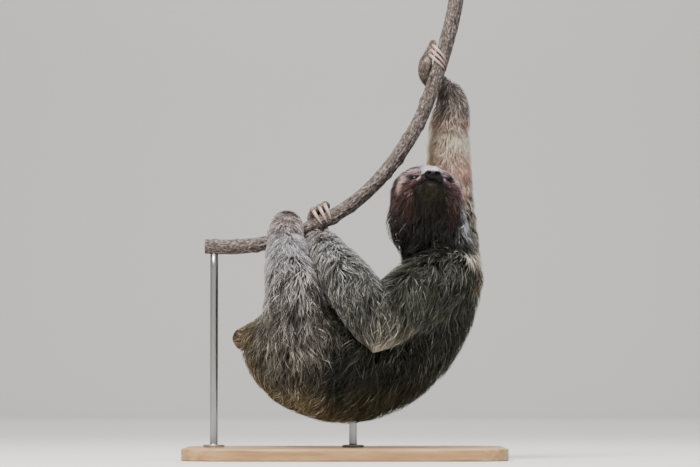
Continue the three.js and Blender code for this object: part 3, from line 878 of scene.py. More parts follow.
def ring_frames(centres):
    """Two directions square to a line at each of its points, turned no more than the line itself turns."""
    ahead = unit(np.gradient(centres, axis=0))
    side = np.array([0, 1, 0]) if abs(ahead[0][1]) < 0.8 else np.array([1, 0, 0])
    sides = []
    for way in ahead:
        side = unit(side - way * (side @ way))
        sides.append(side)
    sides = np.array(sides)
    return sides, np.cross(ahead, sides)


def skinned(rings, centres):
    """Rings of points closed into a solid with a fan at each end."""
    count, sides = rings.shape[:2]
    vertices = np.vstack([rings.reshape(-1, 3), centres[0], centres[-1]])
    here = np.arange(sides)
    after = (here + 1) % sides
    starts = np.arange(count - 1)[:, None] * sides
    walls = np.stack([starts + here, starts + after, starts + sides + after, starts + sides + here], -1)
    first, last = count * sides, count * sides + 1
    top = (count - 1) * sides
    start_fan = np.stack([np.full(sides, first), after, here], -1)
    end_fan = np.stack([np.full(sides, last), top + here, top + after], -1)
    return vertices, [walls.reshape(-1, 4), np.vstack([start_fan, end_fan])]


def round_rings(rows, sides, relief=None):
    """Round rings along stations. relief gives what is added to the radius, from distance and angle."""
    centres, radii = rows[:, :3].astype(float), rows[:, 3].astype(float)
    across, over = ring_frames(centres)
    angles = angles_round(sides)
    travelled = run_along(centres)
    r = radii[:, None] + (relief(travelled[:, None], angles[None]) if relief else 0)
    out = across[:, None] * np.cos(angles)[None, :, None] + over[:, None] * np.sin(angles)[None, :, None]
    return centres[:, None] + out * r[..., None], centres


def ripple(places, size, seed, waves=10):
    """Smooth waves between about -1 and 1, with crests this far apart, at places of any dimension."""
    draw = np.random.default_rng(seed)
    places = np.asarray(places, float)
    total = np.zeros(places.shape[:-1])
    for _ in range(waves):
        way = unit(draw.normal(size=places.shape[-1])) * 2 * np.pi / size * draw.uniform(0.6, 1.6)
        total += np.sin(places @ way + draw.uniform(0, 2 * np.pi))
    return total / math.sqrt(waves / 2) / 1.4


# ---------------------------------------------------------------------------------------------------
# Camera, floor and light
# ---------------------------------------------------------------------------------------------------

LOOK_AT = (7.5, 0, 338)  # what the camera faces
DISTANCE = 4500  # from the camera to there
RISE = 3  # degrees that the camera looks up
FRAME_WIDTH = 1050  # what the camera takes in across, at the sloth's spine
# The floor's front and back, the radius with which it sweeps up, the backdrop's top and half its width.
FLOOR = {"front": -7500, "back": 7200, "sweep": 1500, "top": 5200, "half": 7500}


def place_camera():
    """The camera in front of the sloth and a little below it, looking up."""
    camera = bpy.data.cameras.new("Camera")
    camera.sensor_width = 36
    camera.lens = camera.sensor_width * DISTANCE / FRAME_WIDTH
    camera.clip_end = 50
    made = bpy.data.objects.new("Camera", camera)
    bpy.context.scene.collection.objects.link(made)
    rise = math.radians(RISE)
    x, y, z = LOOK_AT
    made.location = (x * MM, (y - DISTANCE * math.cos(rise)) * MM, (z - DISTANCE * math.sin(rise)) * MM)
    made.rotation_euler = (math.pi / 2 + rise, 0, 0)
    bpy.context.scene.camera = made


def lay_floor():
    """A pale floor that sweeps up behind into a backdrop."""
    front, back, sweep, top, half = (FLOOR[key] for key in ("front", "back", "sweep", "top", "half"))
    turns = np.linspace(0, np.pi / 2, 24)
    curve = [(back + sweep * math.sin(t), sweep * (1 - math.cos(t))) for t in turns]
    profile = [(front, 0), *curve, (back + sweep, top)]
    vertices = np.array([(x, y, z) for y, z in profile for x in (-half, half)])
    starts = np.arange(len(profile) - 1) * 2
    faces = np.stack([starts, starts + 1, starts + 3, starts + 2], 1)
    make_object("floor", vertices, [faces], PAPER)


def hang_light(name, size, power, spot, aim, colour="#ffffff"):
    """A round lamp at a spot, turned to face what it is aimed at."""
    light = bpy.data.lights.new(name, "AREA")
    light.shape = "DISK"
    light.size = size * MM
    light.energy = power
    light.color = linear(colour)
    made = bpy.data.objects.new(name, light)
    bpy.context.scene.collection.objects.link(made)
    made.location = [v * MM for v in spot]
    way = np.array(aim, float) - spot
    flat = math.hypot(way[0], way[1])
    made.rotation_euler = (math.atan2(flat, -way[2]), 0, math.atan2(way[1], way[0]) - math.pi / 2)


def light_studio():
    """Lamps over the sloth and on the backdrop, and a pale sky round them."""
    sloth = (0, 0, 300)
    hang_light("key", size=1300, power=165, spot=(-900, -1500, 2600), aim=sloth, colour="#fff6ea")
    hang_light("top", size=1500, power=100, spot=(500, 200, 2700), aim=sloth, colour="#f4f8ff")
    hang_light("fill", size=2600, power=9, spot=(2400, -2200, 900), aim=sloth, colour="#eef3ff")
    hang_light("backdrop", size=4000, power=230, spot=(0, 4200, 4600), aim=(0, 8600, 600))
    world = bpy.data.worlds.new("Studio")
    world.use_nodes = True
    sky = world.node_tree.nodes["Background"]
    sky.inputs["Color"].default_value = rgba("#e9edf2")
    sky.inputs["Strength"].default_value = 0.34
    bpy.context.scene.world = world


# ---------------------------------------------------------------------------------------------------
# Stand and vine
# ---------------------------------------------------------------------------------------------------

BASE = {"length": 480, "depth": 300, "height": 18, "corner": 60, "edge": 3}
ROD = {"radius": 6, "flange": 16, "flange_height": 4, "rim": 1, "fillet": 1.5, "plain_from": 2}
VINE_ROD = {"x": -196, "below": 8}  # where it meets the vine, and how far below its middle the rod ends
BODY_ROD_RISE = 14  # how far the rod reaches up into the coat under the back


def make_base():
    """A board with round corners and softened edges."""
    turns = np.linspace(0, np.pi / 2, 15)
    profile = []
    edge = BASE["edge"]
    for t in np.linspace(0, np.pi / 2, 6):
        profile.append((edge * (1 - math.sin(t)), edge * (1 - math.cos(t))))
    profile += [(inset, BASE["height"] - z) for inset, z in profile[::-1]]
    rings = []
    for inset, z in profile:
        x, y = BASE["length"] / 2 - BASE["corner"], BASE["depth"] / 2 - BASE["corner"]
        r = BASE["corner"] - inset
        ring = []
        for quarter, (sx, sy) in enumerate([(1, 1), (-1, 1), (-1, -1), (1, -1)]):
            for t in turns + quarter * np.pi / 2:
                ring.append((sx * x + r * math.cos(t), sy * y + r * math.sin(t), z))
        rings.append(ring)
    rings = np.array(rings)
    vertices, faces = skinned(rings, rings.mean(1))
    add_piece(make_object("beech_base", vertices, faces, BEECH), "stand_wood", "stand_base")


def make_rod(name, node, top):
    """A round rod on a flange, with a small fillet where they meet and a rounded rim."""
    low, high = box_of(node)
    x, y = (low[:2] + high[:2]) / 2
    foot = BASE["height"]
    flange, height, rim = ROD["flange"], ROD["flange_height"], ROD["rim"]
    r, fillet, plain = ROD["radius"], ROD["fillet"], ROD["plain_from"]
    profile = [(flange, foot), (flange, foot + height - rim)]
    for t in np.linspace(0.3, np.pi / 2, 5):
        profile.append((flange - rim + rim * math.cos(t), foot + height - rim + rim * math.sin(t)))
    for t in np.linspace(0, np.pi / 2, 6):
        profile.append((r + fillet - fillet * math.sin(t), foot + height + fillet - fillet * math.cos(t)))
    for share in np.linspace(0.05, 1, 12):
        profile.append((r, foot + height + plain + (top - foot - height - plain) * share))
    angles = angles_round(56)
    rings = np.array([[(x + q * math.cos(a), y + q * math.sin(a), z) for a in angles] for q, z in profile])
    vertices, faces = skinned(rings, rings.mean(1))
    made = make_object(name, vertices, faces, STEEL)
    add_piece(made, "stand_steel", node)


RELIEF = {"mean": 0.45, "ridge": 0.75, "fine": 0.16, "swell": 0.4, "knot": 1.6}  # the bark's heights
RELIEF_STEP = 22  # millimetres along the vine to one step of the relief's waves
RELIEF_ROUND = 4  # how many such steps the vine's radius counts for
KNOTS_ABOVE = 0.75  # the waves' tops that become knots


def bark_relief(travelled, angles):
    """Ridges along the vine, knots and a slow swelling."""
    x, y = np.cos(angles) * RELIEF_ROUND, np.sin(angles) * RELIEF_ROUND
    places = np.stack(np.broadcast_arrays(travelled / RELIEF_STEP, x, y), -1)
    ridges = np.abs(ripple(places, size=1.9, seed=11, waves=14))
    fine = ripple(places * (2.2, 2.6, 2.6), size=1.5, seed=12, waves=14)
    swell = ripple(places * (0.5, 0.2, 0.2), size=1.6, seed=13)
    knots = np.maximum(ripple(places * (0.9, 0.35, 0.35), size=1.3, seed=14) - KNOTS_ABOVE, 0)
    low = RELIEF["mean"] - RELIEF["ridge"] * ridges + RELIEF["fine"] * fine
    return low + RELIEF["swell"] * swell + RELIEF["knot"] * knots


HEARTWARD = np.array((0.25, 0.5, 0.75, 0.9, 0.97))  # rings across a cut end, as shares of its radius
BARK_DRAWN = 1.8  # how much longer the bark's blotches are along the vine than round it


def make_vine():
    """The vine's bark with a sanded cut at each end. Its points know their place on the bark."""
    rings, centres = round_rings(rounded(VINE, per_span=36), sides=72, relief=bark_relief)
    count, sides = rings.shape[:2]
    start = centres[0] + HEARTWARD[:, None, None] * (rings[0] - centres[0])
    end = centres[-1] + HEARTWARD[::-1, None, None] * (rings[-1] - centres[-1])
    lined = np.concatenate([start, rings, end])
    vertices, faces = skinned(lined, centres)
    ring_of_wall = faces[0][:, 0] // sides
    cut = (ring_of_wall < len(HEARTWARD)) | (ring_of_wall >= len(HEARTWARD) + count - 1)
    slots = np.concatenate([cut.astype(int), np.ones(len(faces[1]), int)])
    made = make_object("vine_length", vertices, faces, BARK, END_GRAIN, slots=slots)
    share = np.concatenate([HEARTWARD, np.ones(count), HEARTWARD[::-1]])
    set_values(made, np.append(np.repeat(share, sides), [0, 0]), "from_heart")
    run = run_along(lined.mean(1)) / BARK_DRAWN
    turn = angles_round(sides)
    girth = share[:, None] * VINE[0][3]
    along = np.tile(run[:, None], sides)
    place = np.stack([along, girth * np.cos(turn), girth * np.sin(turn)], -1).reshape(-1, 3)
    place = np.vstack([place, [0, 0, 0], [run[-1], 0, 0]])
    layer = made.data.attributes.new("on_bark", "FLOAT_VECTOR", "POINT")
    layer.data.foreach_set("vector", place.reshape(-1))
    add_piece(made, "bark", "vine")


# ---------------------------------------------------------------------------------------------------
# Claws, eyes and nose
# ---------------------------------------------------------------------------------------------------

CLAW_SIDES = 18
CLAW_RINGS = 30
CLAW_CLEAR = 0.7  # between a claw and the vine
# A claw's way round the vine is counted from so many degrees back from the knuckle, and the claw starts
# inside the toe, at this share of its way.
CLAW_START = {"back": 8, "share": -0.12}
# Its radius is a share of the toe's own figure for it: end + more * (what is left of its way) ** power.
CLAW_THICK = {"end": 0.08, "more": 0.88, "power": 0.8}
CLAW_TIP = 0.22  # the radius at the very tip
CLAW_CLOSING = 0.3  # how far the outer tips close in on the middle one
CLAW_DOWN = 1.6  # how soon it comes down to the vine
CLAW_COLOURS = ((0, "#5f4b46"), (0.2, "#8a726a"), (0.42, "#bda79f"), (0.8, "#a58c80"), (1.0, "#55423a"))
GROWTH_LINES = {"height": 0.05, "closeness": 2.1}  # faint rings across it


def claw_rows(limb, slot):
    """A claw grows from the toe's end, hooks round the vine and thins to its tip."""
    grip, toe = limb["grip"], limb["toe"]
    clear = vine_at(grip["x"])[2] + CLAW_CLEAR
    start = grip["knuckle"] - CLAW_START["back"]
    high, sunk = toe["reach"], TOE["knuckle_in"]
    rows = []
    for share in np.linspace(CLAW_START["share"], 1, CLAW_RINGS):
        past = max(share, 0)
        thick = CLAW_THICK["end"] + CLAW_THICK["more"] * (1 - past) ** CLAW_THICK["power"]
        r = toe["claw"] * thick if past < 1 else CLAW_TIP
        angle = start + share * (grip["tip"] - start)
        closing = CLAW_CLOSING * past**2 * (grip["slots"][1] - slot)
        level = min(CLAW_DOWN * past, 1)
        distance = high - sunk + (clear + r - high + sunk) * level * level * (3 - 2 * level)
        rows.append((*beside_vine(grip, slot + closing + grip["slide"] * share, angle, distance), r))
    return np.array(rows)


def growth_lines(travelled, angles):
    return GROWTH_LINES["height"] * np.sin(travelled * GROWTH_LINES["closeness"]) + 0 * angles


def make_claw(limb, foot, slot, name):
    """A claw's horn, painted from its root to its tip."""
    rows = claw_rows(limb, slot)
    rings, centres = round_rings(rows, CLAW_SIDES, growth_lines)
    vertices, faces = skinned(rings, centres)
    made = make_object(f"{foot}_{name}_horn", vertices, faces, KERATIN)
    share = np.append(np.repeat(np.linspace(0, 1, CLAW_RINGS), CLAW_SIDES), [0, 1])
    paint(made, colours_at(share, CLAW_COLOURS))
    add_piece(made, "claw", f"{foot}_{name}_claw")


# The eye's colours from the middle of the pupil outwards, as shares of EYE_COLOURED.
EYE_RINGS = (
    (0, "#020202"), (0.30, "#030202"), (0.36, "#1d100a"),
    (0.70, "#2a170d"), (0.80, "#0c0706"), (1.0, "#1a1412"),
)
EYE_COLOURED = 1.4  # radians from the gaze
GAZE = (0.42, -1, 0.05)  # outwards, back and up, on the head's own axes
BALL = 0.985  # of the eye's radius
CORNEA = {"rise": 0.035, "half": 0.75}  # its rise as a share of the ball's, and its half width in radians


def make_eye(node, sign):
    """A ball that looks ahead and a little outwards, with a cornea that stands proud of it."""
    centre = eye_at(sign)
    gaze = unit(HEAD_TURN @ np.array([GAZE[0] * sign, *GAZE[1:]]))
    turns = np.linspace(0, np.pi, 33)[1:-1]
    angles = angles_round(40)
    across = unit(np.cross(gaze, [0, 0, 1]))
    over = np.cross(across, gaze)
    bulge = 1 + CORNEA["rise"] * np.exp(-((turns / CORNEA["half"]) ** 4))
    r = EYE["radius"] * BALL * bulge
    around = np.cos(angles)[:, None] * across + np.sin(angles)[:, None] * over
    rings = np.array([
        centre + gaze * q * math.cos(t) + q * math.sin(t) * around
        for t, q in zip(turns, r)
    ])
    poles = np.array([centre + gaze * r[0], centre - gaze * r[-1]])
    vertices, faces = skinned(rings, poles)
    made = make_object(f"{node}_ball", vertices, faces, EYE_WET)
    off = np.concatenate([np.repeat(turns, len(angles)), [0, np.pi]]) / EYE_COLOURED
    paint(made, colours_at(off, EYE_RINGS))
    add_piece(made, "eye", node)


NOSTRIL = {"side": 5.3, "up": -13.6, "forward": 30.5, "radii": (5, 1.8, 2.6), "tilt": 0.22}
NOSTRIL_WING = {"side": 6.6, "up": -12.2, "forward": 26.6, "radii": (4.2, 4.6, 5.2)}
NOSE_FILLETS = {"wing": 3, "nostril": 0.9}
NOSE_CELL = 0.55  # the size of the nose's faces
NOSE_ROOM = 3  # round the nose's box, for making its surface


def nose_distance(points):
    """The distance to the nose pad: a rounded mass with wings, nostrils and creases."""
    forward, up, side = on_head(points)
    aside = np.abs(side)
    f, u = forward - NOSE["forward"], up - NOSE["up"]
    total = egg(f, u, side, *NOSE["radii"])
    ahead, above = forward - NOSTRIL_WING["forward"], up - NOSTRIL_WING["up"]
    wing = egg(ahead, above, aside - NOSTRIL_WING["side"], *NOSTRIL_WING["radii"])
    total = blend(total, wing, NOSE_FILLETS["wing"])
    outwards = aside - NOSTRIL["side"]
    lift = up - NOSTRIL["up"] + NOSTRIL["tilt"] * outwards
    hole = egg(forward - NOSTRIL["forward"], lift, outwards, *NOSTRIL["radii"])
    total = -blend(-total, hole, NOSE_FILLETS["nostril"])
    total = crease(total, 0.6, side, wide=0.9, where=step_between(-u, -1, 3))
    return crease(total, 0.2, aside - 9.4 - 0.25 * u, wide=1.1, where=step_between(f, 0, 5))


def make_nose():
    """The nose pad, as the surface of its own form."""
    low, high = box_of("nose")
    low, high = low - NOSE_ROOM, high + NOSE_ROOM
    counts = np.ceil((high - low) / NOSE_CELL).astype(int)
    axes = [low[i] + NOSE_CELL * np.arange(counts[i]) for i in range(3)]
    points = np.stack(np.meshgrid(*axes, indexing="ij"), -1).astype(np.float32)
    values = nose_distance(points.reshape(-1, 3)).reshape(points.shape[:3])
    vertices, quads = net(values, low, NOSE_CELL)
    vertices = settle(vertices, nose_distance, step=0.1, most=NOSE_CELL / 2)
    add_piece(make_object("nose_pad", vertices, [quads], NOSE_LEATHER), "nose_skin", "nose")


# ---------------------------------------------------------------------------------------------------
# Markings, with painted shade and light: the same on the skin and on the hair that grows from it
# ---------------------------------------------------------------------------------------------------

LINES = {"trunk": trunk, "tail": tail, "neck": neck, **limbs}
PARTS = [*LINES, "head"]
MELT = 8.0  # how far one part's colour runs into the next
HEAD_LINE = {"front": 20, "length": 90}  # the head's own line runs back from here, on the head's axes

# Each part's colours along its line, as (share, colour). The shares are those that Tube.measure gives:
# they count the spans between stations, not the length.
COLOURS = {
    # The trunk's hair is dark olive; painted shade darkens it over belly and flank in the middle, and
    # painted bounce light lightens its rump end.
    "trunk": (
        (0, "#30312a"), (0.15, "#2b2c22"), (0.35, "#21241a"), (0.5, "#3a3f2b"),
        (0.65, "#454933"), (0.8, "#585940"), (1, "#5f513c"),
    ),
    "tail": ((0, "#5d4b3b"), (0.6, "#77593f"), (1, "#453629")),
    # The neck's dark brown hair, painted near black with the shade under the raised chin.
    "neck": ((0, "#24231d"), (0.5, "#161310"), (1, "#171312")),
    "left_arm": (
        (0, "#2c2f24"), (0.2, "#353a2d"), (0.28, "#5f5c4f"), (0.36, "#3a3c34"),
        (0.5, "#5b5b59"), (0.62, "#807f80"), (0.72, "#8d8584"), (1, "#85736e"),
    ),
    # The far arm's pale pinkish band is painted backlight on its grey-brown hair.
    "right_arm": (
        (0, "#6f6c60"), (0.15, "#736e65"), (0.24, "#8c7b72"), (0.3, "#d9a190"), (0.335, "#f6bca6"),
        (0.375, "#ffdcc4"), (0.4, "#ffe6cf"), (0.45, "#b39584"), (0.52, "#85746a"), (0.65, "#5f5149"),
        (1, "#7d6c65"),
    ),
    "left_leg": (
        (0, "#3c392e"), (0.25, "#57544d"), (0.36, "#64615f"), (0.45, "#918e93"),
        (0.53, "#adaab1"), (0.61, "#857b7e"), (0.72, "#6f615e"), (1, "#7d6b66"),
    ),
    "right_leg": ((0, "#3c392e"), (0.3, "#504d46"), (0.5, "#6c6a6c"), (0.7, "#85807f"), (1, "#7f6e68")),
    "head": ((0, "#453234"), (0.5, "#493538"), (1, "#322a2b")),
}

# Patches of another colour on the body, among them painted shade and painted light: centre, radii, colour
# and strength.
PATCHES = [
    ((169, -25, 368), (6.5, 36, 30), "#d3d6de", 0.85),  # grey-white streak beside the neck
    ((179, -18, 320), (10, 42, 34), "#f4e8cc", 0.9),  # cream streak behind the shoulder
    ((190, -5, 280), (9, 60, 14), "#7c5a38", 0.4),  # orange-brown edge of the back's patch
    ((150, 44, 424), (30, 32, 46), "#ffccba", 1.0),  # painted backlight, pinkish cream, on the far arm's near side
    ((158, 95, 450), (60, 42, 110), "#80766c", 0.8),  # grey-brown on its far side
    ((193, 30, 420), (15, 60, 105), "#6f6852", 0.75),  # olive along its outer edge
    ((-62, -50, 96), (64, 60, 34), "#979374", 0.8),  # olive low on the rump, lightened with painted bounce light
    ((-87, -24, 348), (24, 34, 18), "#8f7b76", 0.65),  # pinkish brown ankle and foot
    ((50, -114, 182), (30, 26, 20), "#c4b8a4", 0.7),  # pale hair on the elbow
    ((4, -70, 160), (44, 60, 58), "#0d0e09", 0.95),  # the flank's dark olive hair, with painted shadow under the crossed limbs
    ((70, -90, 150), (44, 50, 30), "#10110b", 0.88),  # and painted shadow below the elbow
    ((-15, -60, 90), (26, 60, 16), "#7d7159", 0.5),  # beige on the lower back, lightened with painted bounce light
    ((30, -50, 72), (34, 60, 16), "#84775d", 0.5),
    ((122, -74, 342), (44, 60, 44), "#0d0c0a", 0.95),  # dark brown throat, painted near black with the shade under the raised chin
]

# The face, on the head's axes: forward, up, side (both sides alike), radii, colour and strength.
FACE_PATCHES = [
    ((-20, -34, 0), (50, 36, 38), "#15130f", 0.95),  # throat, dark brown and painted near black with the shade under the chin
    ((-14, -22, 28), (18, 17, 14), "#563c38", 0.9),  # cheeks
    ((-18, -38, 26), (12, 12, 7), "#553521", 0.45),  # orange-brown below the cheek
    ((3, 8, 0), (20, 14, 17), "#f7eaf5", 1.0),  # pale brow band
    ((-9, 5, 24), (14, 6, 12), "#c3abb3", 0.8),  # over the eyes, pinker
    ((-12, -4, 35), (12, 9, 4.5), "#e3cbcb", 0.85),  # and down outside them
    ((-15, -14, 39), (12, 11, 3.6), "#cfb0ae", 0.8),
    ((-20, -25, 41), (12, 9, 3), "#86686a", 0.55),
    ((-2, -14, 22), (12, 7, 9), "#6a494c", 0.85),  # brown under the eyes
    ((-7.5, -3.6, 23.2), (12, 4.4, 9), "#120b0d", 1.0),  # the lids' dark rims
    ((-3, -6, 14), (9, 3, 7), "#4e3739", 0.8),  # tear line
    ((16, -20, 0), (14, 8, 14), "#0b0a0c", 1.0),  # black skin under the nose
    ((24, -13, 0), (12, 9, 12), "#0b0a0c", 1.0),
    ((10, -7, 14.5), (9, 10, 2.5), "#d8c9d3", 0.75),  # pale edges beside the nose
    ((6, -14, 16.3), (8, 6, 2.2), "#b9a8b3", 0.65),
    ((8, -21.4, 0), (26, 2.1, 26), "#060406", 1.0),  # lips
    ((2, -31, 0), (24, 8.5, 20), "#34331f", 0.9),  # chin
]

# How much of each part's hair is frosted, pale and nearly grey.
FROST = {
    "trunk": 0.22, "tail": 0.2, "neck": 0.08, "head": 0.05,
    "left_arm": 0.42, "right_arm": 0.4, "left_leg": 0.5, "right_leg": 0.45,
}


def parts_at(points):
    """How near each part's skin is to each point, and the point's share along the part's line."""
    near, along = [], []
    for name, tube in LINES.items():
        _, skin, share = tube.measure(points)
        for digit in toes.get(name, []):
            nearer = digit.measure(points)[1]
            share = np.where(nearer < skin, 1, share)
            skin = np.minimum(skin, nearer)
        near.append(skin)
        along.append(share)
    ruff = (points - np.array(RUFF["at"], np.float32)).T
    neck_row = PARTS.index("neck")
    near[neck_row] = np.minimum(near[neck_row], egg(*ruff, *(r - RUFF["coat"] for r in RUFF["radii"])))
    own = on_head(points)
    near.append(head_distance(own, 1))
    along.append(np.clip((HEAD_LINE["front"] - own[0]) / HEAD_LINE["length"], 0, 1))
    return np.array(near).T, np.array(along).T


PATCH_FADE = (0.55, 1.25)  # where a patch starts to fade and where it ends, as shares of its radii


def overlaid(colour, places, centre, radii, code, strength):
    """The colour with a soft-edged patch laid over it at the places that it covers."""
    off = np.linalg.norm((places - centre) / radii, axis=1)
    share = strength * (1 - step_between(off, *PATCH_FADE))
    return colour + share[:, None] * (linear(code) - colour)


def markings_and_painted_light(points):
    """The coat's linear colour at each point, with painted shade and light from some patches."""
    near, along = parts_at(points)
    weight = np.exp(-(near - near.min(1, keepdims=True)) / MELT)
    weight /= weight.sum(1, keepdims=True)
    colour = np.zeros((len(points), 3))
    for column, name in enumerate(PARTS):
        colour += weight[:, column : column + 1] * colours_at(along[:, column], COLOURS[name])
    for centre, radii, code, strength in PATCHES:
        colour = overlaid(colour, points, centre, radii, code, strength)
    forward, up, side = on_head(points.astype(np.float32))
    on_face = weight[:, -1]
    for centre, radii, code, strength in FACE_PATCHES:
        own = np.stack([forward, up, np.abs(side) if centre[2] else side], 1)
        colour = overlaid(colour, own, centre, radii, code, strength * on_face)
    return colour


# ---------------------------------------------------------------------------------------------------
# Skin
# ---------------------------------------------------------------------------------------------------

FACE = {"back": -24, "low": -40, "high": 20, "half": 44}  # the face, on the head's axes
FLESH_NODES = ["head", "neck", "trunk", "tail", *(node for limb in LIMBS.values() for node in limb["nodes"])]


def in_face(points, room=0.0):
    """Whether points are on the face, with some room round it."""
    forward, up, side = on_head(np.asarray(points, np.float32))
    inside = (forward > FACE["back"] - room) & (up > FACE["low"] - room) & (up < FACE["high"] + room)
    return inside & (np.abs(side) < FACE["half"] + room)


def in_hands(points):
    """Whether points are on a hand or a foot."""
    near, along = parts_at(np.asarray(points, np.float32))
    part = near.argmin(1)
    found = np.zeros(len(points), bool)
    for column, name in enumerate(PARTS):
        if name in LIMBS:
            wrist = LIMBS[name]["end"] / LINES[name].stations
            found |= (part == column) & (along[np.arange(len(points)), part] > wrist)
    return found


EYES_FROM = -16  # what is further back on the head's axes than this isn't an eye's or a lid's
LIDS_ROUND = 10  # the lids' reach from the eye's middle
LIPS_FROM = -10  # and what is further back than this isn't a lip's
LIPS_HIGH = 4  # half the lips' height


def by_lids(points):
    """Whether points are on the lids or the lips."""
    forward, up, side = on_head(np.asarray(points, np.float32))
    lids = (forward > EYES_FROM) & (np.hypot(np.abs(side) - EYE["side"], up - EYE["up"]) < LIDS_ROUND)
    lips = (np.abs(side) < MOUTH_REACH + 2) & (np.abs(up - MOUTH_UP - 1) < LIPS_HIGH)
    return lids | (forward > LIPS_FROM) & lips


SLIT_FADE = (0.8, 1.2)  # where the lids' parting ends, as shares of SLIT
SLIT_BACK = 1  # how far behind the eye's front the parted skin lies
LIDS_OUT = 8  # how far out from the eye the skin that parts can lie


def open_lids(points):
    """The skin pushed back behind the eye's front where the lids part."""
    own = np.stack(on_head(points), 1)
    for sign in (1, -1):
        centre = np.array([EYE["forward"], EYE["up"], sign * EYE["side"]], np.float32)
        off = own - centre
        away = np.linalg.norm(off, axis=1)
        f, u, s = (off / np.maximum(away, 1e-6)[:, None] * EYE["radius"]).T
        s *= sign
        gap = np.hypot((u + SLIT_TILT * s) / SLIT[0], s / SLIT[1])
        parted = (1 - step_between(gap, *SLIT_FADE)) * (f > 0) * (away < EYE["radius"] + LIDS_OUT)
        pushed = (EYE["radius"] - SLIT_BACK) / np.maximum(away, 1e-6)
        own = centre + off * (1 + parted * (pushed - 1))[:, None]
    back = np.stack([own[:, 2], -own[:, 0], own[:, 1]], 1)
    return np.array(HEAD["at"], np.float32) + back @ HEAD_TURN.T.astype(np.float32)


def refine(mesh, where, cuts):
    """The mesh's faces cut finer where their middles are in some place."""
    work = bmesh.new()
    work.from_mesh(mesh)
    middles = np.array([face.calc_center_median() for face in work.faces]) / MM
    chosen = where(middles)
    edges = {edge for face, fine in zip(work.faces, chosen) if fine for edge in face.edges}
    edges = sorted(edges, key=lambda edge: edge.index)
    bmesh.ops.subdivide_edges(work, edges=edges, cuts=cuts, use_grid_fill=True)
    bmesh.ops.triangulate(work, faces=[face for face in work.faces if len(face.verts) > 4])
    work.to_mesh(mesh)
    work.free()


def places_of(mesh):
    """The mesh's vertices, in millimetres."""
    found = np.empty(len(mesh.vertices) * 3, np.float32)
    mesh.vertices.foreach_get("co", found)
    return found.reshape(-1, 3) / MM


def lidded_skin(points):
    """The distance to the skin with the face's details on it."""
    return in_pieces(lambda some: body(some, lids=True), points)[1]


SHADE_UNDER_COAT = {"from": 3, "to": 12, "darker": 0.55}  # painted shade: the deeper the coat, the darker the skin under it


def make_skin(vertices, quads):
    """One skin over the whole body, finest on the face."""
    made = make_object("skin", vertices, [quads], HIDE)
    refine(made.data, in_hands, cuts=1)
    refine(made.data, in_face, cuts=3)
    refine(made.data, by_lids, cuts=1)
    points = places_of(made.data)
    fine = in_face(points, 2) | in_hands(points)
    points[fine] = settle(points[fine], lidded_skin, passes=4, step=0.2, most=4)
    fine = by_lids(points)
    points[fine] = open_lids(points[fine])
    made.data.vertices.foreach_set("co", (points * MM).reshape(-1))
    made.data.update()
    coat, skin = in_pieces(body, points)
    # Painted shade: the skin is darkened where the coat over it is deep.
    deep = step_between(skin - coat, SHADE_UNDER_COAT["from"], SHADE_UNDER_COAT["to"])
    paint(made, markings_and_painted_light(points) * (1 - SHADE_UNDER_COAT["darker"] * deep)[:, None])
    add_piece(made, "coat", *FLESH_NODES)


# ---------------------------------------------------------------------------------------------------
# Coat
# ---------------------------------------------------------------------------------------------------

TUFT_RINGS = (0.0, 0.34, 0.7)  # where a tuft's rings lie along it; its tip is at 1
TUFT_WIDTHS = (0.75, 1.0, 0.72)  # its width at the rings, as shares of its greatest
TUFT_ROOF = 0.8  # how high a tuft's ridge stands, as a share of half its width
TUFT_POINTS = 3 * len(TUFT_WIDTHS) + 1
ROOT_DEPTH = 0.8  # how far a tuft starts under the skin
HAIR_DEPTHS = (1.2, 26)  # the least and the greatest that the coat's depth counts for

# A tuft's length and width: where they start from, and what each millimetre of the coat's depth adds.
LENGTH = (2.4, 1.95)
WIDTH = (0.36, 0.05)
LAYERS = 9.0  # how many layers of hair overlap
HAND_LAYERS = 0.45  # the share of them on hands and feet

# How single tufts differ from the usual one: the least and greatest share of its length and width, the
# spreads of their lie and their curl in radians, and by how much of the coat's depth some lie lower.
VARIED = {"length": (0.7, 1.25), "width": (0.7, 1.3), "swerve": 0.14, "curl": 0.18, "lower": 0.5}
# How neighbours differ together: how strongly, the size of the waves in millimetres, and their seed.
LOCKS = {
    "length": (0.22, 26, 21), "height": (0.07, 16, 22), "swerve": (0.38, 34, 23),
    "fine_swerve": (0.22, 11, 24), "curl": (0.15, 18, 25),
}

# What the hair follows in each part: how strongly gravity, and how strongly the bone's way.
LIE = {"trunk": (1.0, 0.5), "tail": (0.25, 1.0), "neck": (1.0, -0.4)}
LIMB_LIE = (0.9, 0.6)
HAND_LIE = (0.35, 0.9)
FOOT_LIE = (1.0, -0.7)
DOWN = np.array([0, 0, -1.0], np.float32)


HEAD_GRAVITY = 0.35  # the head's hair runs back from above the nose, and hangs by this much
NOSE_PARTING = {"ahead": 2, "above": 3}  # where that is, from the nose's middle
EYE_PARTING = {"pull": 2.5, "spread": 13}  # how strongly hair leads away from the eyes, and how far off
ELBOW_TURN = 0.04  # how far each way of the elbow the lie turns over, as a share of the line
HAND_TURN = (-0.02, 0.1)  # and from where to where past the wrist


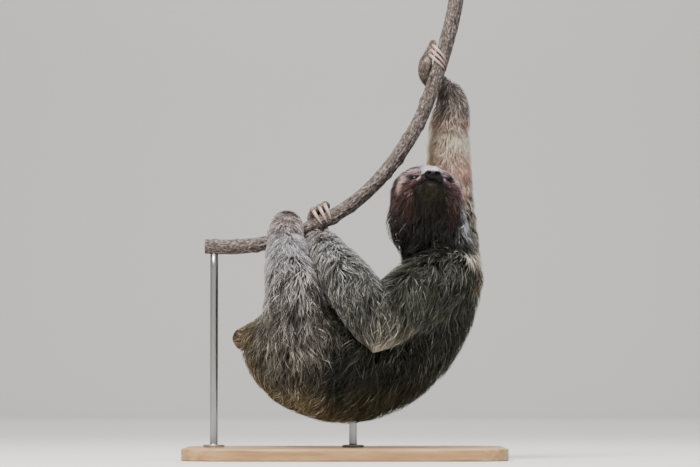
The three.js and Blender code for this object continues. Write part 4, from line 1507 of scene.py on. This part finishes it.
def lie_of(points, part, along):
    """The way in which the hair lies at each point, before it is bent along the skin."""
    way = np.tile(DOWN, (len(points), 1))
    for column, (name, tube) in enumerate(LINES.items()):
        rows = np.flatnonzero(part == column)
        _, bone = tube.at(along[rows])
        if name in LIMBS:
            limb = LIMBS[name]
            upper, lower = limb["lie"]
            elbow, wrist = limb["joint"] / tube.stations, limb["end"] / tube.stations
            turned_over = step_between(along[rows], elbow - ELBOW_TURN, elbow + ELBOW_TURN)
            sign = upper + (lower - upper) * turned_over
            hand = step_between(along[rows], wrist + HAND_TURN[0], wrist + HAND_TURN[1])[:, None]
            arm_way = LIMB_LIE[0] * DOWN + LIMB_LIE[1] * sign[:, None] * bone
            gravity, follow = HAND_LIE if "arm" in name else FOOT_LIE
            way[rows] = arm_way + hand * (gravity * DOWN + follow * bone - arm_way)
        else:
            gravity, follow = LIE[name]
            way[rows] = gravity * DOWN + follow * bone
    rows = np.flatnonzero(part == len(LINES))
    nose = from_head(NOSE["forward"] + NOSE_PARTING["ahead"], NOSE["up"] + NOSE_PARTING["above"], 0)
    way[rows] = unit(points[rows] - nose) + HEAD_GRAVITY * DOWN
    for sign in (1, -1):
        off = points[rows] - eye_at(sign)
        away = np.linalg.norm(off, axis=1, keepdims=True)
        way[rows] += EYE_PARTING["pull"] * np.exp(-((away / EYE_PARTING["spread"]) ** 2)) * off / away
    return way


CROPPED = {"by": 0.55, "round_eye": 13, "round_lips": 6}  # by what share, and how far off in millimetres


def cropped(points):
    """How short the hair is near the eyes and the lips, as a share of its length elsewhere."""
    forward, up, side = on_head(points)
    aside = np.abs(side)
    from_eye = np.linalg.norm([forward - EYE["forward"], up - EYE["up"], aside - EYE["side"]], axis=0)
    from_lips = np.hypot(up - MOUTH_UP, np.maximum(aside - MOUTH_REACH, 0))
    at_lips = np.exp(-((from_lips / CROPPED["round_lips"]) ** 2)) * step_between(forward, -14, -6)
    at_eye = np.exp(-((from_eye / CROPPED["round_eye"]) ** 2))
    return 1 - CROPPED["by"] * np.maximum(at_eye, at_lips)


def sow(vertices, quads, density, draw):
    """Places spread evenly over the faces, with so many to the square millimetre."""
    corners = vertices[quads]
    halves = np.concatenate([corners[:, [0, 1, 2]], corners[:, [0, 2, 3]]])
    halves = halves[np.argsort(np.tile(np.arange(len(quads)), 2), kind="stable")]
    area = np.linalg.norm(np.cross(halves[:, 1] - halves[:, 0], halves[:, 2] - halves[:, 0]), axis=1) / 2
    total = np.cumsum(area * np.repeat(density, 2))
    count = int(total[-1])
    spots = (np.arange(count) + draw.random(count)) / count * total[-1]
    chosen = halves[np.minimum(np.searchsorted(total, spots), len(halves) - 1)]
    a, b = draw.random(count), draw.random(count)
    fold = a + b > 1
    a, b = np.where(fold, 1 - a, a)[:, None], np.where(fold, 1 - b, b)[:, None]
    return chosen[:, 0] + a * (chosen[:, 1] - chosen[:, 0]) + b * (chosen[:, 2] - chosen[:, 0])


BALD_EYE = (8.6, 5)  # half the width and height of the bare place round an eye
BALD_NOSE = {"lower": 3, "radii": (12, 10.5, 14)}  # round the nose, lying this much lower than it
BALD_LIPS = {"low": -1.4, "high": 2.4, "from": -8}
BALD_BY_VINE = 2.5  # no hair grows nearer to the vine than this


def bald(points):
    """Where no hair grows: the eyes, the nose, the lips, the soles against the vine."""
    forward, up, side = on_head(points)
    aside = np.abs(side)
    tilted = up - EYE["up"] + SLIT_TILT * (aside - EYE["side"])
    at_eye = np.hypot((aside - EYE["side"]) / BALD_EYE[0], tilted / BALD_EYE[1]) < 1
    at_eye &= forward > EYES_FROM
    lower = up - NOSE["up"] + BALD_NOSE["lower"]
    at_nose = egg(forward - NOSE["forward"], lower, side, *BALD_NOSE["radii"]) < 0
    lips = lip_line(up, side)
    at_lips = (lips > BALD_LIPS["low"]) & (lips < BALD_LIPS["high"])
    at_lips &= (aside < MOUTH_REACH) & (forward > BALD_LIPS["from"])
    near_head = in_face(points, 6)
    by_vine = vine_tube.measure(points)[0] < BALD_BY_VINE
    return ((at_eye | at_nose | at_lips) & near_head) | by_vine


# Where hair gathers into a point: the point, the middle of the hair that reaches for it, how far that
# hair spreads and how strongly it is drawn.
GATHERS = [
    ((37, -118, 155), (56, -122, 180), 26, 0.8),  # the elbow's tuft
    ((-124, -20, 94), (-104, -20, 112), 20, 0.6),  # the corner of the rump
    ((78, -44, 312), (86, -50, 334), 22, 0.5),  # the ruff's lower corner
]


def gather(places):
    """The tufts drawn together where their roots are near a gathering."""
    shares = np.array([*TUFT_RINGS, 1.0])[:, None, None]
    for tip, middle, spread, strength in GATHERS:
        off = np.linalg.norm(places[0] - middle, axis=1)
        pull = strength * np.exp(-((off / spread) ** 2))
        places = places + shares**2 * pull[:, None] * (np.array(tip) - places[-1])
    return places


def coat_depth(grid, points, least=HAIR_DEPTHS[0]):
    """How deep the coat is over the skin at each point."""
    depth = grid.read(grid.skin, points) - grid.read(grid.coat, points)
    return np.clip(depth, least, HAIR_DEPTHS[1])


def usual_tuft(depth):
    """A tuft's usual length and width where the coat is so deep."""
    return LENGTH[0] + LENGTH[1] * depth, WIDTH[0] + WIDTH[1] * depth


def locked(roots, name):
    """How neighbouring tufts differ together, in a smooth wave over the body."""
    strength, size, seed = LOCKS[name]
    return strength * ripple(roots, size, seed)


FULL_HEIGHT = (1.03, 1.1)  # how high a usual tuft and the highest one end, as shares of the coat's depth
RISE_POWER = 1.8  # how soon a tuft rises from the skin to its height
LEAST_ROOM = 1.0  # the least depth of coat that a tuft is let into
DEPTH_GAIN = 1.15  # and the most, as a share of the depth at the tuft's root


def comb(grid, roots, part, along, draw):
    """The tufts' centre points, the outward ways there and their widths."""
    count = len(roots)
    depth = coat_depth(grid, roots)
    length, width = usual_tuft(depth)
    length = length * (1 + locked(roots, "length")) * draw.uniform(*VARIED["length"], count)
    length *= cropped(roots)
    width = width * draw.uniform(*VARIED["width"], count)
    height = FULL_HEIGHT[0] + locked(roots, "height") - VARIED["lower"] * draw.random(count) ** 2
    swerve = locked(roots, "swerve") + locked(roots, "fine_swerve") + draw.normal(0, VARIED["swerve"], count)
    curl = draw.normal(0, VARIED["curl"], count) + locked(roots, "curl")
    out = grid.slope(grid.skin, roots)
    place = roots - out * ROOT_DEPTH
    places, outs = [place], [out]
    for start, end in zip(TUFT_RINGS, (*TUFT_RINGS[1:], 1.0)):
        way = lie_of(place, part, along)
        way = unit(way - out * np.einsum("ij,ij->i", way, out)[:, None])
        turn = (swerve + curl * end)[:, None]
        way = way * np.cos(turn) + np.cross(out, way) * np.sin(turn)
        place = place + way * (length * (end - start))[:, None]
        room = np.minimum(coat_depth(grid, place, LEAST_ROOM), depth * DEPTH_GAIN)
        level = np.minimum(height, FULL_HEIGHT[1]) * (1 - (1 - end) ** RISE_POWER) * room
        for _ in range(2):
            out = grid.slope(grid.skin, place)
            place = place + out * (level - grid.read(grid.skin, place))[:, None]
        places.append(place)
        outs.append(out)
    return gather(np.array(places)), np.array(outs), width


def tuft_mesh(places, outs, width):
    """Three-sided tufts with pointed tips, as vertices and faces."""
    count = places.shape[1]
    ahead = unit(np.gradient(places, axis=0))
    side = unit(np.cross(outs, ahead))
    rings = []
    for ring, share in enumerate(TUFT_WIDTHS):
        half = (width * share / 2)[:, None]
        middle, across, ridge = places[ring], side[ring], outs[ring]
        rings += [middle - across * half, middle + ridge * half * TUFT_ROOF, middle + across * half]
    vertices = np.stack([*rings, places[-1]], 1).reshape(-1, 3)
    sides = ((0, 1), (1, 2), (2, 0))
    last, tip = TUFT_POINTS - 4, TUFT_POINTS - 1
    quads = [(r + a, r + b, r + 3 + b, r + 3 + a) for r in range(0, last, 3) for a, b in sides]
    triangles = [(last + a, last + b, tip) for a, b in sides] + [(0, 2, 1)]
    starts = np.arange(count)[:, None, None] * TUFT_POINTS
    faces = [(starts + np.array(kind)).reshape(-1, len(kind[0])) for kind in (quads, triangles)]
    return vertices, faces


MAP_PATCH = 0.003  # a tuft's patch on the baked map
MAP_EDGE, MAP_SPAN = 0.004, 0.992  # where the patches' middles lie on it
MAP_SEAM = (0.31, 0.2, 0.93)  # the side on which a limb's map is cut open
HEAD_MIDDLE = (-30, -12)  # forward and up on the head's axes, for its round map


def unwrapped(points, part, along):
    """Each root's place on the unwrap of its part: along the bone, and round it."""
    place = np.zeros((len(points), 2))
    for column, tube in enumerate(LINES.values()):
        rows = np.flatnonzero(part == column)
        centre, bone = tube.at(along[rows])
        off = points[rows] - centre
        aside = np.cross(bone, MAP_SEAM)
        over = np.cross(bone, aside)
        angle = np.arctan2(np.einsum("ij,ij->i", off, aside), np.einsum("ij,ij->i", off, over))
        place[rows] = np.stack([along[rows], angle / (2 * np.pi) + 0.5], 1)
    rows = np.flatnonzero(part == len(LINES))
    forward, up, side = on_head(points[rows].astype(np.float32))
    off = np.stack([forward - HEAD_MIDDLE[0], up - HEAD_MIDDLE[1], side], 1)
    turn = np.arctan2(off[:, 2], off[:, 0]) / (2 * np.pi) + 0.5
    lift = np.arcsin(np.clip(off[:, 1] / np.linalg.norm(off, axis=1), -1, 1)) / np.pi + 0.5
    place[rows] = np.stack([turn, lift], 1)
    return place


def lay_bake_map(thing, roots_place):
    """A small patch for each tuft, at its root's place on the unwrap."""
    below_tip = range(TUFT_POINTS - 1)
    corner = np.array([*((-0.5, 0.15, 0.5)[n % 3] for n in below_tip), 0.0])
    rise = np.array([*((n // 3 + (0, 0.25, 0)[n % 3]) / len(TUFT_WIDTHS) for n in below_tip), 1.0])
    offsets = np.stack([corner, rise - 0.5], 1) * MAP_PATCH
    spots = MAP_EDGE + MAP_SPAN * roots_place[:, None] + offsets[None]
    indices = np.empty(len(thing.data.loops), np.int32)
    thing.data.loops.foreach_get("vertex_index", indices)
    layer = thing.data.uv_layers.new(name="OFBake")
    layer.data.foreach_set("uv", spots.reshape(-1, 2)[indices].astype(np.float32).reshape(-1))


TUFT_SHADES = (0.45, 0.8, 1.1, 1.35)  # a tuft's shade at its three rings and its tip
# How the shade varies: how much more even pale hair is, how strongly locks and single tufts differ, and
# how much darker all are set, because the lighter ones weigh more.
SHADES = {"even": 0.8, "lock": 0.42, "single": 0.56, "darker": 0.13}
FROST_PATCHES = 0.8  # how unevenly frosted hair is spread
# Frosted hair: how much it keeps of its own colour and takes of grey, how many times lighter that is and
# by how much at least, and by how much at most.
FROSTED = {"own": 0.45, "grey": 0.55, "times": 2.7, "least": 0.03, "most": 0.3}
PLAIN = {"dark": 0.8, "pale": 0.25}  # the rest keeps this share of its colour, and the more the paler it is
HAIR_TONES = (0.002, 0.88)  # the darkest and the palest that hair gets


def hair_colours(roots, part, draw):
    """Each tuft's colours from its root to its tip."""
    base = markings_and_painted_light(roots)
    lock = ripple(roots * (1, 1, 0.45), size=9, seed=31)
    bright = base.mean(1, keepdims=True)
    vary = 1 - SHADES["even"] * bright[:, 0]
    single = draw.normal(0, SHADES["single"], len(roots))
    shade = np.exp(vary * (SHADES["lock"] * lock + single - SHADES["darker"]))
    share = np.array([FROST[name] for name in PARTS])[part]
    spread = 1 + FROST_PATCHES * ripple(roots * (1, 1, 0.4), size=13, seed=32)
    pale = draw.random(len(roots)) < share * spread
    lifted = (FROSTED["own"] * base + FROSTED["grey"] * bright) * FROSTED["times"] + FROSTED["least"]
    frosted = np.minimum(lifted, base + FROSTED["most"] * (1 - bright**2))
    own = base * (PLAIN["dark"] + PLAIN["pale"] * bright)
    tuft = np.where(pale[:, None], frosted, own) * shade[:, None]
    along = np.append(np.repeat(TUFT_SHADES[:3], 3), TUFT_SHADES[3]) ** vary[:, None]
    return np.clip(tuft[:, None] * along[:, :, None], *HAIR_TONES).reshape(-1, 3)


# The coat's pieces: the part that each covers, between which shares of its line, and its material slot.
COAT_PIECES = {
    "coat_chest": ("trunk", 0, 0.36, "coat"),
    "coat_belly": ("trunk", 0.36, 0.66, "coat"),
    "coat_rump": ("trunk", 0.66, 1.01, "coat"),
    "coat_tail": ("tail", 0, 1.01, "coat"),
    "coat_neck": ("neck", 0, 1.01, "coat"),
    "coat_face": ("head", 0, 0.46, "face_coat"),
    "coat_hood": ("head", 0.46, 1.01, "face_coat"),
    **{
        f"coat_{name}_{half}": (name, *span, "coat")
        for name in LIMBS
        for half, span in (("upper", (0, 0.5)), ("lower", (0.5, 1.01)))
    },
}
COAT_LIMIT = 92000  # tufts that are sown, before those on bare places are left out
# Skin further inside the outer face than this many times its own coat's depth lies under another part's
# coat. Over the next so many millimetres its tufts get fewer, in the end by this share.
BURIED = {"depths": 1.6, "over": 14, "fewer": 0.75}
STRAND_SPREAD = 40  # how far apart the tufts' own stripes are taken from the noise
TUFT_CLEAR = 0.6  # the least way between a tuft and the vine


def make_coat(grid, vertices, quads):
    """The coat's tufts, sown over the skin, combed and shared out to the pieces."""
    draw = np.random.default_rng(7)
    corners = vertices[quads]
    middles = corners.mean(1)
    depth = coat_depth(grid, middles)
    layers = LAYERS * np.where(in_hands(middles), HAND_LAYERS, 1.0)
    buried = step_between(-grid.read(grid.coat, middles) - BURIED["depths"] * depth, 0, BURIED["over"])
    length, width = usual_tuft(depth)
    density = layers / (length * width) * (1 - BURIED["fewer"] * buried)
    area = np.linalg.norm(np.cross(corners[:, 2] - corners[:, 0], corners[:, 3] - corners[:, 1]), axis=1) / 2
    density *= min(1.0, COAT_LIMIT / (density * area).sum())
    roots = sow(vertices, quads, density, draw).astype(np.float32)
    roots = roots[~bald(roots)]
    near, shares = parts_at(roots)
    part = near.argmin(1)
    along = shares[np.arange(len(roots)), part]
    places, outs, width = comb(grid, roots, part, along, draw)
    from_vine = np.array([vine_tube.measure(p.astype(np.float32))[0] for p in places[1:]])
    clear = (from_vine > TUFT_CLEAR).all(0)
    tones = hair_colours(roots, part, draw).reshape(len(roots), -1, 3)
    spread = unwrapped(roots, part, along)
    own_side = np.array([-1.0, 0.0, 1.0] * len(TUFT_WIDTHS) + [0.0])
    for name, (where, low, high, slot) in COAT_PIECES.items():
        rows = np.flatnonzero(clear & (part == PARTS.index(where)) & (along >= low) & (along < high))
        hairs, faces = tuft_mesh(places[:, rows], outs[:, rows], width[rows])
        made = make_object(name, hairs, faces, GUARD_HAIR)
        paint(made, tones[rows].reshape(-1, 3))
        own_stripes = STRAND_SPREAD * draw.random(len(rows))[:, None]
        set_values(made, (own_side[None] + own_stripes).reshape(-1), "strand")
        share = spread[rows]
        if where != "head":
            share[:, 0] = (share[:, 0] - low) / (min(high, 1) - low)
        lay_bake_map(made, share)
        add_piece(made, slot)


# ---------------------------------------------------------------------------------------------------
# The model
# ---------------------------------------------------------------------------------------------------

GRID_LOW, GRID_HIGH = (-181, -163, 32), (222, 142, 636)  # the corners of a box round the animal

place_camera()
lay_floor()
light_studio()
make_base()
make_rod("vine_rod", "stand_rod_vine", vine_at(VINE_ROD["x"])[0][2] - VINE_ROD["below"])
make_rod("body_rod", "stand_rod_body", min(row[2] - row[3] for row in TRUNK) + BODY_ROD_RISE)
make_vine()
for limb in LIMBS.values():
    for slot, name in zip(limb["grip"]["slots"], CLAW_NAMES):
        make_claw(limb, limb["nodes"][2], slot, name)
make_eye("left_eye", 1)
make_eye("right_eye", -1)
make_nose()
grid = Grid(GRID_LOW, GRID_HIGH, BIG_CELL)
net_vertices, net_quads = net(grid.skin, GRID_LOW, BIG_CELL)
net_vertices = settle(net_vertices, lambda places: in_pieces(body, places)[1], most=BIG_CELL / 2)
make_skin(net_vertices, net_quads)
make_coat(grid, net_vertices, net_quads)
